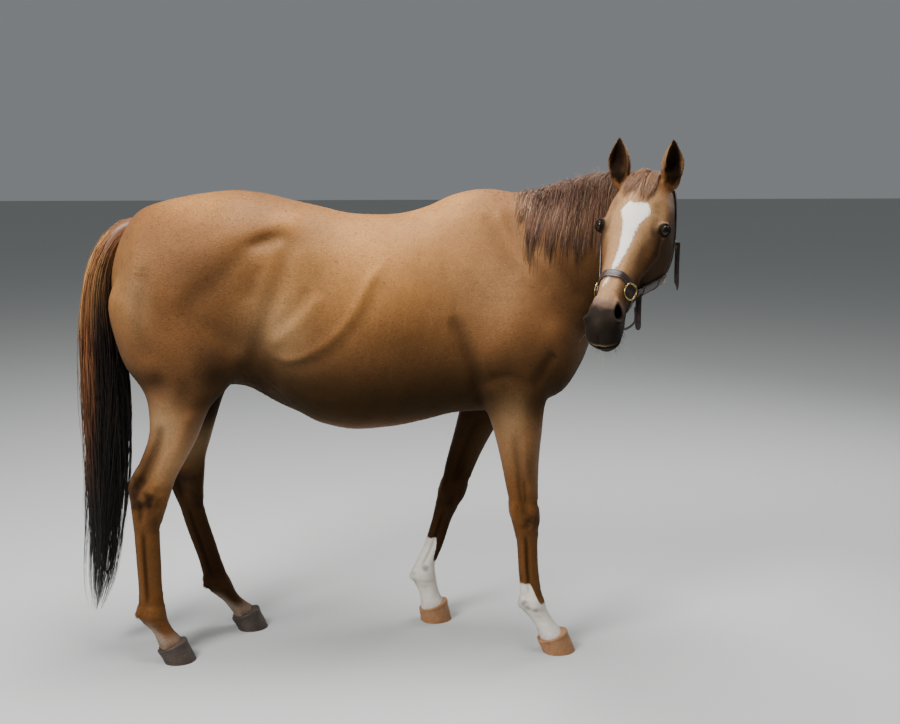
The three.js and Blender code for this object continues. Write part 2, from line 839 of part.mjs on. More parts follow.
const roots = Object.entries(legs).map(([name, leg]) => buildLeg(name, leg));
const skull = headLoft();
const whole = union([trunkLoft(), neckLoft(), skull, ...roots]);

const THROAT = new THREE.Vector3(575, -345, 1500);
const [headPart, headless] = takeOff(whole, THROAT, new THREE.Vector3(-0.3, 0.95, -0.1), UP, WIDE);
const NECK_BASE = new THREE.Vector3(330, 0, 1330);
const [neckPart, torso] = takeOff(headless, NECK_BASE, new THREE.Vector3(-0.9, 0, -0.43), SIDEWAYS, WIDE);
const LOIN = new THREE.Vector3(-640, 0, 1300);
const [hindPart, trunkPart] = takeOff(torso, LOIN, new THREE.Vector3(1, 0, 0), SIDEWAYS, WIDE);
piece("trunk", trunkPart, materials.coat);
piece("hindquarters", hindPart, materials.coat);
piece("neck", neckPart, materials.coat);

const pair = (ball, make) => Object.values(SIDES).map((side) => make(mirrored(ball, side)));
const eyeBall = [EYE.s, EYE.across, EYE.out, EYE.radius, EYE.radius, EYE.radius];
const lids = [EYE.s, EYE.across + EYE.radius, EYE.out, ...LIDS];
const hollows = union([
  ...pair(eyeBall, (ball) => headBall(ball, CLEAR)),
  ...pair(lids, (ball) => headBall(ball)),
  ...pair(NOSTRIL, (ball) => headBall(ball)),
]);
piece("head", headPart.subtract(hollows), materials.coat);

const clearHead = headLoft(CLEAR);
const clearBody = union([clearHead, neckLoft(CLEAR), trunkLoft(CLEAR)]);
const crownRoom = beltBox(belts.crown_strap, CLEAR);
for (const [name, side] of Object.entries(SIDES)) {
  piece(name + "_ear", earLoft(name).subtract(clearHead).subtract(crownRoom), materials.coat);
  piece(name + "_eye", headBall(mirrored(eyeBall, side)), materials.eye);
}

const feet = Object.entries(ears).map(([name, { foot }]) =>
  headBall(mirrored([...foot, 44, 40, 60], SIDES[name])),
);
const hairRoom = union([clearBody, crownRoom, ...feet]);
piece("mane", neckLoft(MANE.thick).intersect(maneRoom()).subtract(hairRoom), materials.mane);
piece("forelock", headLoft(FORELOCK.thick).intersect(forelockRoom()).subtract(hairRoom), materials.mane);
piece("tail", tailLoft().subtract(union([trunkLoft(CLEAR), ...roots])), materials.tail);

const strapShell = union([headLoft(CLEAR + STRAP.thick), neckLoft(CLEAR + STRAP.thick)]).subtract(clearBody);
for (const [name, belt] of Object.entries(belts)) {
  piece(name, strapShell.intersect(beltBox(belt)), materials.leather);
}
const jawStraps = strapShell.intersect(beltBox(jawBelt));
for (const [name, side] of Object.entries(SIDES)) {
  const half = slab(inHead(300, 0, -150), left.clone().multiplyScalar(-side), along, 600, 600, 200);
  piece(name + "_jaw_strap", jawStraps.intersect(half), materials.leather);
  for (const [kind, sizes] of Object.entries(rings)) {
    piece(name + "_" + kind, ring(sizes, side), materials.brass);
  }
}
piece("left_buckle", ring(buckle, SIDES.left), materials.brass);
piece("crown_strap_end", hangingEnd([142, 106, -202], 17, 106), materials.leather);
piece("chin_strap_end", hangingEnd([390, 54, -142], 18, 80), materials.leather);

const box = new THREE.Box3().setFromObject(horse);
const middle = box.getCenter(new THREE.Vector3());
horse.position.set(-middle.x, -middle.y, 0);

export default horse;
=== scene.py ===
"""A chestnut thoroughbred mare in a leather headcollar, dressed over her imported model.

Shapes are worked out in the mare's own frame: millimetres, +X towards her chest, +Y to her left, +Z up.
`placed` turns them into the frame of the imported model, in metres.
"""

import json
import logging
from dataclasses import dataclass, field
from enum import Enum

import bpy
import numpy as np
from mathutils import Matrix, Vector
from mathutils.bvhtree import BVHTree

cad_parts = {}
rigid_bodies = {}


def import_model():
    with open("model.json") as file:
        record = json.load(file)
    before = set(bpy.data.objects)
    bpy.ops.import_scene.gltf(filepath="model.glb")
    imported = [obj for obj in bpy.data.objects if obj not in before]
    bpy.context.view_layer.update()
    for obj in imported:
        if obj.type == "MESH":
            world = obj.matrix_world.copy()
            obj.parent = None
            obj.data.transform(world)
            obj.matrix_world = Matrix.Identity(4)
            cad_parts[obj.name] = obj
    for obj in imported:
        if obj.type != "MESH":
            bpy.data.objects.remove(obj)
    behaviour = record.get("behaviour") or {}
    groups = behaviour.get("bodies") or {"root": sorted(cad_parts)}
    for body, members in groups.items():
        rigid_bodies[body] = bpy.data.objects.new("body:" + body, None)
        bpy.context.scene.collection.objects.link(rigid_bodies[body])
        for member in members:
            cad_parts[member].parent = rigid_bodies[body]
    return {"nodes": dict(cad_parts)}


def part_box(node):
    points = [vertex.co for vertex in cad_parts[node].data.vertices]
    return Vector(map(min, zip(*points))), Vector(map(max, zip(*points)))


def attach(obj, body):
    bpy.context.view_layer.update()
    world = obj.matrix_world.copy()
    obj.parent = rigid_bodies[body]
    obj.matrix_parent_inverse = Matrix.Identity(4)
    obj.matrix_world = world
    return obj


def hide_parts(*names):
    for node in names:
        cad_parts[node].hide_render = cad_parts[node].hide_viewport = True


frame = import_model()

for spare in [o for o in bpy.data.objects if o.name in ("Cube", "Camera", "Light")]:
    bpy.data.objects.remove(spare)

Array = np.ndarray
UP = np.array([0.0, 0.0, 1.0])
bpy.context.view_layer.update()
WORN = ("hoof", "eye", "mane", "forelock", "tail", "strap", "noseband", "ring", "buckle")
FLESH = [node for node in frame["nodes"] if not any(word in node for word in WORN)]
log = logging.getLogger("mare")


# ------------------------------------------------------------------ numbers and curves


def linear(code: str) -> tuple[float, float, float, float]:
    """Turn an sRGB hex colour into linear light.

    Args:
        code: Six hex digits.

    Returns:
        Linear red, green, blue and an alpha of 1.
    """
    share = [int(code[i : i + 2], 16) / 255 for i in (0, 2, 4)]
    return (*[c / 12.92 if c < 0.04045 else ((c + 0.055) / 1.055) ** 2.4 for c in share], 1.0)


def rgb(code: str) -> Array:
    """Linear colour of a hex code as an array of three."""
    return np.array(linear(code)[:3])


def unit(vectors: Array) -> Array:
    """Scale vectors along the last axis to length one."""
    return vectors / (np.linalg.norm(vectors, axis=-1, keepdims=True) + 1e-12)


def ease(x: Array, low: float, high: float) -> Array:
    """Smooth step from 0 at `low` to 1 at `high`, whichever is larger."""
    t = np.clip((x - low) / (high - low), 0, 1)
    return t * t * (3 - 2 * t)


def bell(distance: Array, width: float) -> Array:
    """Gaussian of a distance, e^-1 at `width`."""
    return np.exp(-((distance / width) ** 2))


def turned(vector: Array, axis: Array, degrees: float) -> Array:
    """Rotate a vector about a unit axis (Rodrigues' formula)."""
    a = np.radians(degrees)
    return vector * np.cos(a) + np.cross(axis, vector) * np.sin(a) + axis * (axis @ vector) * (1 - np.cos(a))


def dot(a: Array, b: Array) -> Array:
    """Row by row dot product."""
    return np.sum(a * b, axis=-1)


class Table:
    """Columns of sizes along a first column, on smooth curves that never overshoot."""

    def __init__(self, names: str, *rows: tuple[float, ...]) -> None:
        """Keep the rows and work out slopes as harmonic means of the steps beside each row.

        Args:
            names: Column names after the first, split by spaces.
            rows: The place and the columns' values there.
        """
        data = np.array(rows, float)
        self.names = names.split()
        self.at, self.values = data[:, 0], data[:, 1:]
        steps = np.diff(self.values, axis=0) / np.diff(self.at)[:, None]
        a, b = steps[:-1], steps[1:]
        inner = np.where(a * b <= 0, 0.0, 2 * a * b / np.where(a + b == 0, 1.0, a + b))
        self.slopes = np.vstack([steps[:1], inner, steps[-1:]])

    def __call__(self, place: Array) -> dict[str, Array]:
        """Read every column at some places (cubic Hermite between rows)."""
        x = np.clip(np.asarray(place, float), self.at[0], self.at[-1])
        i = np.clip(np.searchsorted(self.at, x, side="right") - 1, 0, len(self.at) - 2)
        h = (self.at[i + 1] - self.at[i])[..., None]
        t = ((x - self.at[i])[..., None]) / h
        v, m = self.values, self.slopes
        out = v[i] * (1 + 2 * t) * (1 - t) ** 2 + v[i + 1] * t * t * (3 - 2 * t)
        out = out + m[i] * h * t * (1 - t) ** 2 - m[i + 1] * h * t * t * (1 - t)
        return {name: out[..., k] for k, name in enumerate(self.names)}


class Path:
    """A centripetal Catmull-Rom curve, read by the share of its length."""

    def __init__(self, points: list[tuple[float, float, float]] | Array, fine: int = 60) -> None:
        """Sample the curve densely and measure it.

        Args:
            points: The points that it passes through.
            fine: Samples between two of them.
        """
        p = np.array(points, float)
        p = np.vstack([2 * p[0] - p[1], p, 2 * p[-1] - p[-2]])
        gaps = np.maximum(np.linalg.norm(np.diff(p, axis=0), axis=1), 1e-6) ** 0.5
        t = np.linspace(0, 1, fine, endpoint=False)[:, None]
        parts = []
        for k in range(1, len(p) - 2):
            d0, d1, d2 = gaps[k - 1], gaps[k], gaps[k + 1]
            m1 = ((p[k] - p[k - 1]) / d0 - (p[k + 1] - p[k - 1]) / (d0 + d1) + (p[k + 1] - p[k]) / d1) * d1
            m2 = ((p[k + 1] - p[k]) / d1 - (p[k + 2] - p[k]) / (d1 + d2) + (p[k + 2] - p[k + 1]) / d2) * d1
            c2, c3 = -3 * p[k] + 3 * p[k + 1] - 2 * m1 - m2, 2 * p[k] - 2 * p[k + 1] + m1 + m2
            parts.append(p[k] + m1 * t + c2 * t**2 + c3 * t**3)
        self.points = np.vstack([*parts, p[-2:-1]])
        lengths = np.linalg.norm(np.diff(self.points, axis=0), axis=1)
        self.length = float(lengths.sum())
        self.share = np.concatenate([[0], np.cumsum(lengths)]) / self.length

    def at(self, t: Array) -> Array:
        """Points at shares of the length."""
        return np.stack([np.interp(t, self.share, self.points[:, k]) for k in range(3)], -1)

    def heading(self, t: Array) -> Array:
        """Unit tangents at shares of the length."""
        t = np.asarray(t, float)
        return unit(self.at(np.clip(t + 0.006, 0, 1)) - self.at(np.clip(t - 0.006, 0, 1)))

    def distance(self, points: Array, step: int = 4) -> Array:
        """Distance from points to the curve's samples, over as many axes as the points have."""
        line = self.points[::step, : points.shape[1]]
        best = np.full(len(points), 1e9)
        for a, b in zip(line[:-1], line[1:]):
            ab = b - a
            t = np.clip(((points - a) @ ab) / (ab @ ab + 1e-9), 0, 1)
            best = np.minimum(best, np.linalg.norm(points - a - t[:, None] * ab, axis=1))
        return best


def places(start: float, end: float, count: int, crowd: float = 0.0) -> Array:
    """Places from one end to the other, closer together near both ends by the share `crowd`."""
    t = np.linspace(0, 1, count + 1)
    return start + (end - start) * (t + ((1 - np.cos(np.pi * t)) / 2 - t) * crowd)


def rounding(distance: Array, radius: float) -> Array:
    """Share of the full size near a rounded end: 0 at the end, 1 from `radius` inwards."""
    t = np.clip(1 - distance / radius, 0, 1)
    return np.sqrt(np.maximum(1 - t * t, 0))


# ------------------------------------------------------------------ meshes


def make(name: str, points: Array, *faces: Array) -> bpy.types.Object:
    """Make a mesh object from arrays.

    Args:
        name: The object's name.
        points: Vertices, in the units to be kept.
        faces: Arrays of faces, each with its own number of corners.

    Returns:
        The object, linked to the scene.
    """
    faces = [f for f in faces if len(f)]
    mesh = bpy.data.meshes.new(name)
    corners = np.concatenate([f.reshape(-1) for f in faces]).astype(np.int32)
    sizes = np.concatenate([np.full(len(f), f.shape[1]) for f in faces])
    starts = np.concatenate([[0], np.cumsum(sizes)[:-1]]).astype(np.int32)
    mesh.vertices.add(len(points))
    mesh.vertices.foreach_set("co", np.ascontiguousarray(points, np.float32).ravel())
    mesh.loops.add(len(corners))
    mesh.loops.foreach_set("vertex_index", corners)
    mesh.polygons.add(len(sizes))
    mesh.polygons.foreach_set("loop_start", starts)
    mesh.polygons.foreach_set("use_smooth", np.ones(len(sizes), bool))
    mesh.update(calc_edges=True)
    made = bpy.data.objects.new(name, mesh)
    bpy.context.scene.collection.objects.link(made)
    return made


def strip(rows: int, sides: int, closed: bool = True) -> Array:
    """Quads of a grid of `rows` by `sides` points, closed round its sides or open."""
    i, j = np.meshgrid(np.arange(rows - 1), np.arange(sides if closed else sides - 1), indexing="ij")
    k = (j + 1) % sides
    a, b = i * sides + j, i * sides + k
    return np.stack([a, b, b + sides, a + sides], -1).reshape(-1, 4)


def closed_loft(rings: Array) -> tuple[Array, Array, Array]:
    """Close rings of points into a solid: quads between the rings, and a fan over each end.

    Args:
        rings: Points by ring and side.

    Returns:
        Points, quads and triangles.
    """
    rows, sides, _ = rings.shape
    points = np.vstack([rings.reshape(-1, 3), rings[0].mean(0), rings[-1].mean(0)])
    j = np.arange(sides)
    k = (j + 1) % sides
    first, last, end = len(points) - 2, len(points) - 1, (rows - 1) * sides
    low = np.stack([np.full(sides, first), k, j], -1)
    high = np.stack([np.full(sides, last), end + j, end + k], -1)
    return points, strip(rows, sides), np.vstack([low, high])


def joined(parts: list[tuple[Array, Array, Array]]) -> tuple[Array, Array, Array]:
    """Put several sets of points, quads and triangles into one."""
    shift = np.cumsum([0] + [len(p) for p, _, _ in parts])
    points = np.vstack([p for p, _, _ in parts])
    quads = np.vstack([q.reshape(-1, 4) + s for (_, q, _), s in zip(parts, shift)])
    return points, quads, np.vstack([t.reshape(-1, 3) + s for (_, _, t), s in zip(parts, shift)])


def outward(mesh: tuple[Array, Array, Array]) -> tuple[Array, Array, Array]:
    """Turn a closed mesh's faces over when its signed volume is negative."""
    points, quads, tris = mesh
    every = np.vstack([quads[:, [0, 1, 2]], quads[:, [0, 2, 3]], tris])
    a, b, c = (points[every[:, k]] - points.mean(0) for k in range(3))
    return (points, quads[:, ::-1], tris[:, ::-1]) if dot(a, np.cross(b, c)).sum() < 0 else mesh


def read(mesh: bpy.types.Mesh) -> tuple[Array, Array]:
    """Points and triangles of a mesh."""
    points = np.empty(len(mesh.vertices) * 3, np.float32)
    mesh.vertices.foreach_get("co", points)
    mesh.calc_loop_triangles()
    tris = np.empty(len(mesh.loop_triangles) * 3, np.int32)
    mesh.loop_triangles.foreach_get("vertices", tris)
    return points.reshape(-1, 3).astype(float), tris.reshape(-1, 3)


def baked(obj: bpy.types.Object) -> bpy.types.Mesh:
    """Apply an object's modifiers and return the new mesh, removing the object."""
    graph = bpy.context.evaluated_depsgraph_get()
    mesh = bpy.data.meshes.new_from_object(obj.evaluated_get(graph))
    bpy.data.objects.remove(obj)
    return mesh


def normals_of(points: Array, tris: Array) -> Array:
    """Area-weighted vertex normals, as sums of the cross products of the triangles round each point."""
    a, b, c = (points[tris[:, k]] for k in range(3))
    n = np.cross(b - a, c - a)
    out = np.empty_like(points)
    for axis in range(3):
        weights = np.concatenate([n[:, axis]] * 3)
        out[:, axis] = np.bincount(tris.T.reshape(-1), weights, len(points))
    return unit(out)


def neighbours(points: Array, tris: Array) -> tuple[Array, Array, Array]:
    """Both directions of every edge and the number of neighbours of each point."""
    edges = np.sort(np.vstack([tris[:, [0, 1]], tris[:, [1, 2]], tris[:, [2, 0]]]), axis=1)
    edges = np.unique(edges[:, 0].astype(np.int64) * len(points) + edges[:, 1])
    i, j = edges // len(points), edges % len(points)
    a, b = np.concatenate([i, j]), np.concatenate([j, i])
    return a, b, np.bincount(a, minlength=len(points)).astype(float)


def relaxed(points: Array, tris: Array, rounds: int, weight: Array, shrink: Array) -> Array:
    """Smooth a surface, filling its creases more than it wears down its ridges.

    Each point moves towards the mean of its neighbours. The share of that move that points outwards is kept
    in full, and the share that points inwards is scaled by `shrink`.

    Args:
        points: Vertices.
        tris: Triangles.
        rounds: How many times to smooth.
        weight: How far each point moves, 0 to 1.
        shrink: Share of the inward move that is kept at each point.

    Returns:
        The moved vertices.
    """
    a, b, count = neighbours(points, tris)
    out = points.copy()
    for turn in range(rounds):
        if turn % 4 == 0:
            normal = normals_of(out, tris)
        mean = np.stack([np.bincount(a, out[b, k], len(out)) for k in range(3)], -1) / count[:, None]
        move = mean - out
        lift = dot(move, normal)
        kept = np.where(lift > 0, lift, lift * shrink)
        out += (move + normal * (kept - lift)[:, None]) * (0.6 * weight)[:, None]
    return out


# ------------------------------------------------------------------ the mare's frame


@dataclass(frozen=True)
class HeadFrame:
    """Her head's axes: down the face from the poll, across to her left, and out from the forehead."""

    poll: tuple[float, float, float] = (581, -468, 1700)
    turn: float = -119
    drop: float = 46
    tilt: float = -3

    def heading(self) -> Array:
        """Level direction in which the muzzle points."""
        return turned(np.array([1.0, 0, 0]), UP, self.turn)

    def axes(self) -> Array:
        """Rows: along the face, to her left, out of the face."""
        ahead, fall = self.heading(), np.radians(self.drop)
        along = turned(ahead * np.cos(fall) - UP * np.sin(fall), ahead, self.tilt)
        face = turned(ahead * np.sin(fall) + UP * np.cos(fall), ahead, self.tilt)
        return np.stack([along, np.cross(face, along), face])

    def point(self, s: Array, across: Array, out: Array) -> Array:
        """Places in her frame from places on the head."""
        s, across, out = np.broadcast_arrays(s, across, out)
        return np.array(self.poll) + np.stack([s, across, out], -1) @ self.axes()

    def local(self, points: Array) -> Array:
        """Places on the head (along, across, out) from places in her frame."""
        return (points - np.array(self.poll)) @ self.axes().T


HEAD = HeadFrame()
THROAT = np.array([575, -345, 1500])
BACK_FROM_THROAT = unit(np.array([-0.3, 0.95, -0.1]))


def past_throat(points: Array) -> Array:
    """How far places lie behind the plane that parts head and neck, in millimetres: below 0 on the head."""
    return (points - THROAT) @ BACK_FROM_THROAT


def on_the_head(points: Array) -> Array:
    """How far places lie on the head, from 0 on the neck to 1 on the head."""
    return ease(-past_throat(points), -30, 30)
EYE_AT = (196.0, 97.0, -38.0)
EYE_RADIUS = 21.0


def middle(node: str) -> Array:
    """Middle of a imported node's box, in metres."""
    low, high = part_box(node)
    return (np.array(low) + np.array(high)) / 2


# Her frame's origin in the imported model, in metres, from the place of her right eye.
ORIGIN = middle("right_eye") - HEAD.point(EYE_AT[0], -EYE_AT[1], EYE_AT[2]) / 1000


def placed(points: Array) -> Array:
    """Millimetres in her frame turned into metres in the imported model's."""
    return points / 1000 + ORIGIN


# ------------------------------------------------------------------ body shape

TRUNK = Table(
    "top bottom half mid upper lower",
    (-1168, 1490, 1140, 150, 1300, 2.2, 2.0),
    (-1110, 1545, 1090, 225, 1300, 2.1, 2.0),
    (-1040, 1584, 1055, 262, 1290, 2.0, 2.0),
    (-940, 1612, 1000, 278, 1280, 2.0, 2.0),
    (-830, 1630, 960, 282, 1310, 2.0, 2.1),
    (-740, 1638, 958, 276, 1350, 2.0, 2.1),
    (-650, 1628, 934, 268, 1300, 2.1, 2.2),
    (-550, 1603, 872, 280, 1200, 2.2, 2.2),
    (-450, 1580, 818, 298, 1160, 2.2, 2.2),
    (-330, 1553, 796, 307, 1130, 2.2, 2.2),
    (-210, 1550, 804, 298, 1130, 2.1, 2.2),
    (-90, 1574, 826, 272, 1130, 1.9, 2.2),
    (20, 1620, 850, 250, 1130, 1.65, 2.2),
    (120, 1636, 855, 246, 1130, 1.5, 2.2),
    (220, 1624, 865, 244, 1130, 1.5, 2.2),
    (310, 1540, 885, 232, 1120, 1.7, 2.2),
    (400, 1430, 920, 205, 1110, 2.0, 2.2),
    (492, 1310, 985, 160, 1120, 2.1, 2.2),
)
FORE = Table(
    "front back half y square",
    (62, 56, 46, 50, 158, 2.2),
    (80, 45, 42, 42, 158, 2.1),
    (105, 39, 40, 34, 157, 2.1),
    (140, 42, 44, 34, 156, 2.1),
    (175, 45, 48, 39, 156, 2.2),
    (205, 42, 42, 37, 155, 2.2),
    (240, 38, 40, 31, 155, 2.1),
    (310, 36, 39, 28, 154, 2.1),
    (390, 37, 39, 30, 153, 2.1),
    (450, 45, 46, 39, 152, 2.4),
    (500, 53, 53, 46, 151, 2.6),
    (550, 52, 54, 43, 150, 2.4),
    (615, 57, 62, 44, 150, 2.1),
    (710, 67, 74, 53, 150, 2.1),
    (810, 84, 91, 64, 150, 2.1),
    (880, 100, 106, 74, 148, 2.1),
    (950, 124, 130, 84, 144, 2.1),
    (1040, 158, 170, 90, 138, 2.2),
    (1130, 175, 188, 88, 130, 2.2),
    (1230, 165, 170, 76, 120, 2.2),
    (1320, 120, 130, 50, 112, 2.2),
)
HIND = Table(
    "front back half y square",
    (60, 52, 44, 48, 150, 2.2),
    (80, 46, 40, 43, 150, 2.1),
    (110, 37, 36, 34, 149, 2.1),
    (140, 42, 46, 36, 148, 2.1),
    (172, 48, 52, 41, 147, 2.2),
    (210, 46, 47, 36, 147, 2.1),
    (270, 42, 43, 31, 146, 2.1),
    (360, 44, 45, 31, 146, 2.1),
    (460, 44, 46, 35, 146, 2.1),
    (510, 51, 53, 43, 147, 2.3),
    (560, 60, 64, 50, 148, 2.4),
    (600, 67, 75, 49, 148, 2.3),
    (635, 72, 88, 44, 148, 2.1),
    (675, 76, 80, 45, 149, 2.0),
    (730, 82, 78, 52, 150, 2.0),
    (810, 88, 84, 64, 152, 2.0),
    (905, 104, 106, 80, 154, 2.1),
    (985, 144, 160, 98, 154, 2.1),
    (1060, 195, 200, 116, 154, 2.2),
    (1160, 230, 214, 126, 152, 2.2),
    (1260, 225, 218, 126, 146, 2.2),
    (1350, 185, 190, 110, 136, 2.1),
    (1440, 110, 110, 70, 124, 2.0),
)
NECK = Table(
    "top bottom half mid upper lower",
    (0.0, 310, -330, 180, -100, 1.7, 2.0),
    (0.18, 310, -350, 190, -90, 1.6, 2.0),
    (0.36, 256, -315, 166, -70, 1.6, 2.0),
    (0.55, 196, -248, 126, -40, 1.7, 2.0),
    (0.75, 144, -180, 92, -20, 1.8, 2.0),
    (0.9, 106, -142, 78, 0, 1.9, 2.0),
    (1.0, 78, -120, 66, 0, 2.0, 2.0),
)
SKULL = Table(
    "top bottom half mid upper lower",
    (-45, -45, -150, 50, -95, 2.0, 2.0),
    (-20, -16, -190, 70, -85, 2.0, 2.0),
    (20, 4, -222, 84, -76, 2.1, 2.1),
    (70, 14, -258, 94, -72, 2.2, 2.2),
    (120, 18, -292, 101, -66, 2.2, 2.3),
    (165, 16, -310, 103, -64, 2.2, 2.35),
    (210, 12, -306, 98, -64, 2.1, 2.4),
    (255, 6, -282, 87, -68, 2.0, 2.4),
    (300, 2, -246, 75, -70, 2.0, 2.3),
    (350, 0, -208, 60, -68, 2.0, 2.2),
    (400, 0, -176, 50, -62, 2.1, 2.2),
    (450, -1, -152, 47, -60, 2.2, 2.1),
    (490, -3, -142, 49, -60, 2.2, 2.1),
    (530, -6, -142, 54, -64, 2.2, 2.2),
    (562, -14, -146, 54, -72, 2.2, 2.3),
    (586, -32, -142, 47, -84, 2.2, 2.3),
    (605, -62, -122, 34, -90, 2.0, 2.0),
)
TAIL = Table(
    "thick half",
    (0, 44, 36),
    (0.06, 48, 40),
    (0.12, 52, 46),
    (0.25, 62, 56),
    (0.38, 80, 66),
    (0.5, 87, 70),
    (0.66, 84, 66),
    (0.8, 68, 54),
    (0.92, 42, 36),
    (1, 6, 6),
)
EAR = Table(
    "half deep wall hollow",
    (0, 29, 26, 8, 0),
    (0.2, 32, 28, 8, 0.05),
    (0.38, 37, 30, 7, 0.45),
    (0.55, 36, 27, 5.5, 0.8),
    (0.72, 27, 20, 5, 0.8),
    (0.88, 14, 10, 4.5, 0.7),
    (1, 3.5, 3, 2.4, 0.4),
)
NECK_LINE = Path(
    [
        (40, 0, 1290),
        (225, -5, 1340),
        (370, -70, 1435),
        (485, -190, 1530),
        (562, -320, 1592),
        tuple(HEAD.point(18, 0, -105)),
    ]
)
TAIL_LINE = Path(
    [
        (-1050, 0, 1515),
        (-1112, -4, 1500),
        (-1160, -8, 1450),
        (-1194, -12, 1370),
        (-1210, -16, 1240),
        (-1206, -20, 1110),
        (-1200, -22, 960),
        (-1207, -24, 790),
        (-1224, -26, 560),
        (-1238, -28, 380),
        (-1270, -30, 170),
    ]
)


@dataclass(frozen=True)
class Leg:
    """A leg: its shape by height, its side, how far its foot stands out, and its line."""

    name: str
    shape: Table
    side: int
    out: float
    line: Table

    def centre(self, z: Array) -> Array:
        """How far the leg's line lies to her left, at some heights."""
        return self.side * (self.shape(z)["y"] + self.out * (1 - ease(z, 200, 950)))

    def hair_line(self, x: Array) -> Array:
        """Height of the hoof's upper edge at a place along her: it slopes from heel to toe."""
        low = self.shape.at[0]
        base, at = self.shape(low), self.line(low)["x"]
        share = (x - (at - base["back"])) / (base["back"] + base["front"])
        return 42 + (76 - 42) * share


LEGS = {
    "right_fore": Leg(
        "right_fore",
        FORE,
        -1,
        0,
        Table(
            "x",
            (0, 372),
            (62, 352),
            (100, 330),
            (170, 288),
            (300, 270),
            (400, 264),
            (510, 254),
            (620, 244),
            (800, 230),
            (950, 214),
            (1320, 214),
        ),
    ),
    "left_fore": Leg(
        "left_fore",
        FORE,
        1,
        8,
        Table(
            "x",
            (0, -50),
            (62, -56),
            (100, -66),
            (190, -88),
            (300, -48),
            (400, -18),
            (500, 18),
            (620, 56),
            (800, 128),
            (950, 190),
            (1320, 214),
        ),
    ),
    "right_hind": Leg(
        "right_hind",
        HIND,
        -1,
        0,
        Table(
            "x",
            (0, -970),
            (60, -992),
            (100, -1014),
            (170, -1052),
            (300, -1056),
            (460, -1058),
            (560, -1046),
            (640, -1030),
            (730, -992),
            (810, -956),
            (905, -930),
            (985, -900),
            (1100, -915),
            (1260, -936),
            (1440, -930),
        ),
    ),
    "left_hind": Leg(
        "left_hind",
        HIND,
        1,
        -16,
        Table(
            "x",
            (0, -742),
            (60, -764),
            (100, -800),
            (160, -848),
            (300, -894),
            (460, -940),
            (560, -958),
            (640, -962),
            (730, -948),
            (810, -930),
            (905, -912),
            (985, -895),
            (1100, -915),
            (1260, -936),
            (1440, -930),
        ),
    ),
}


def section(shape: dict[str, Array], sides: int, size: Array = 1.0, grow: float = 0.0) -> tuple[Array, Array]:
    """Across and up places of superellipse sections, with separate powers above and below the widest line.

    Args:
        shape: The table's columns, one value for each ring.
        sides: Points round each ring.
        size: Share of the full size at each ring.
        grow: Width added all round.

    Returns:
        Places across and up, by ring and side.
    """
    angle = 2 * np.pi * np.arange(sides) / sides
    c, s = np.cos(angle)[None], np.sin(angle)[None]
    col = {k: np.atleast_1d(v)[:, None] for k, v in shape.items()}
    size = np.atleast_1d(size)[:, None] * np.ones_like(col["top"])
    power = 2 / np.where(s >= 0, col["upper"], col["lower"])
    x, y = np.sign(c) * np.abs(c) ** power, np.sign(s) * np.abs(s) ** power
    reach = np.where(s >= 0, col["top"] - col["mid"], col["mid"] - col["bottom"])
    centre = (col["top"] + col["bottom"]) / 2
    return x * (col["half"] * size + grow), centre + (col["mid"] - centre) * size + y * (reach * size + grow)


def neck_frame(t: Array) -> tuple[Array, Array, Array]:
    """Point, direction towards the crest and direction to her left at places along the neck."""
    forward = NECK_LINE.heading(t)
    crest = unit(UP - forward * (forward @ UP)[..., None])
    return NECK_LINE.at(t), crest, np.cross(crest, forward)


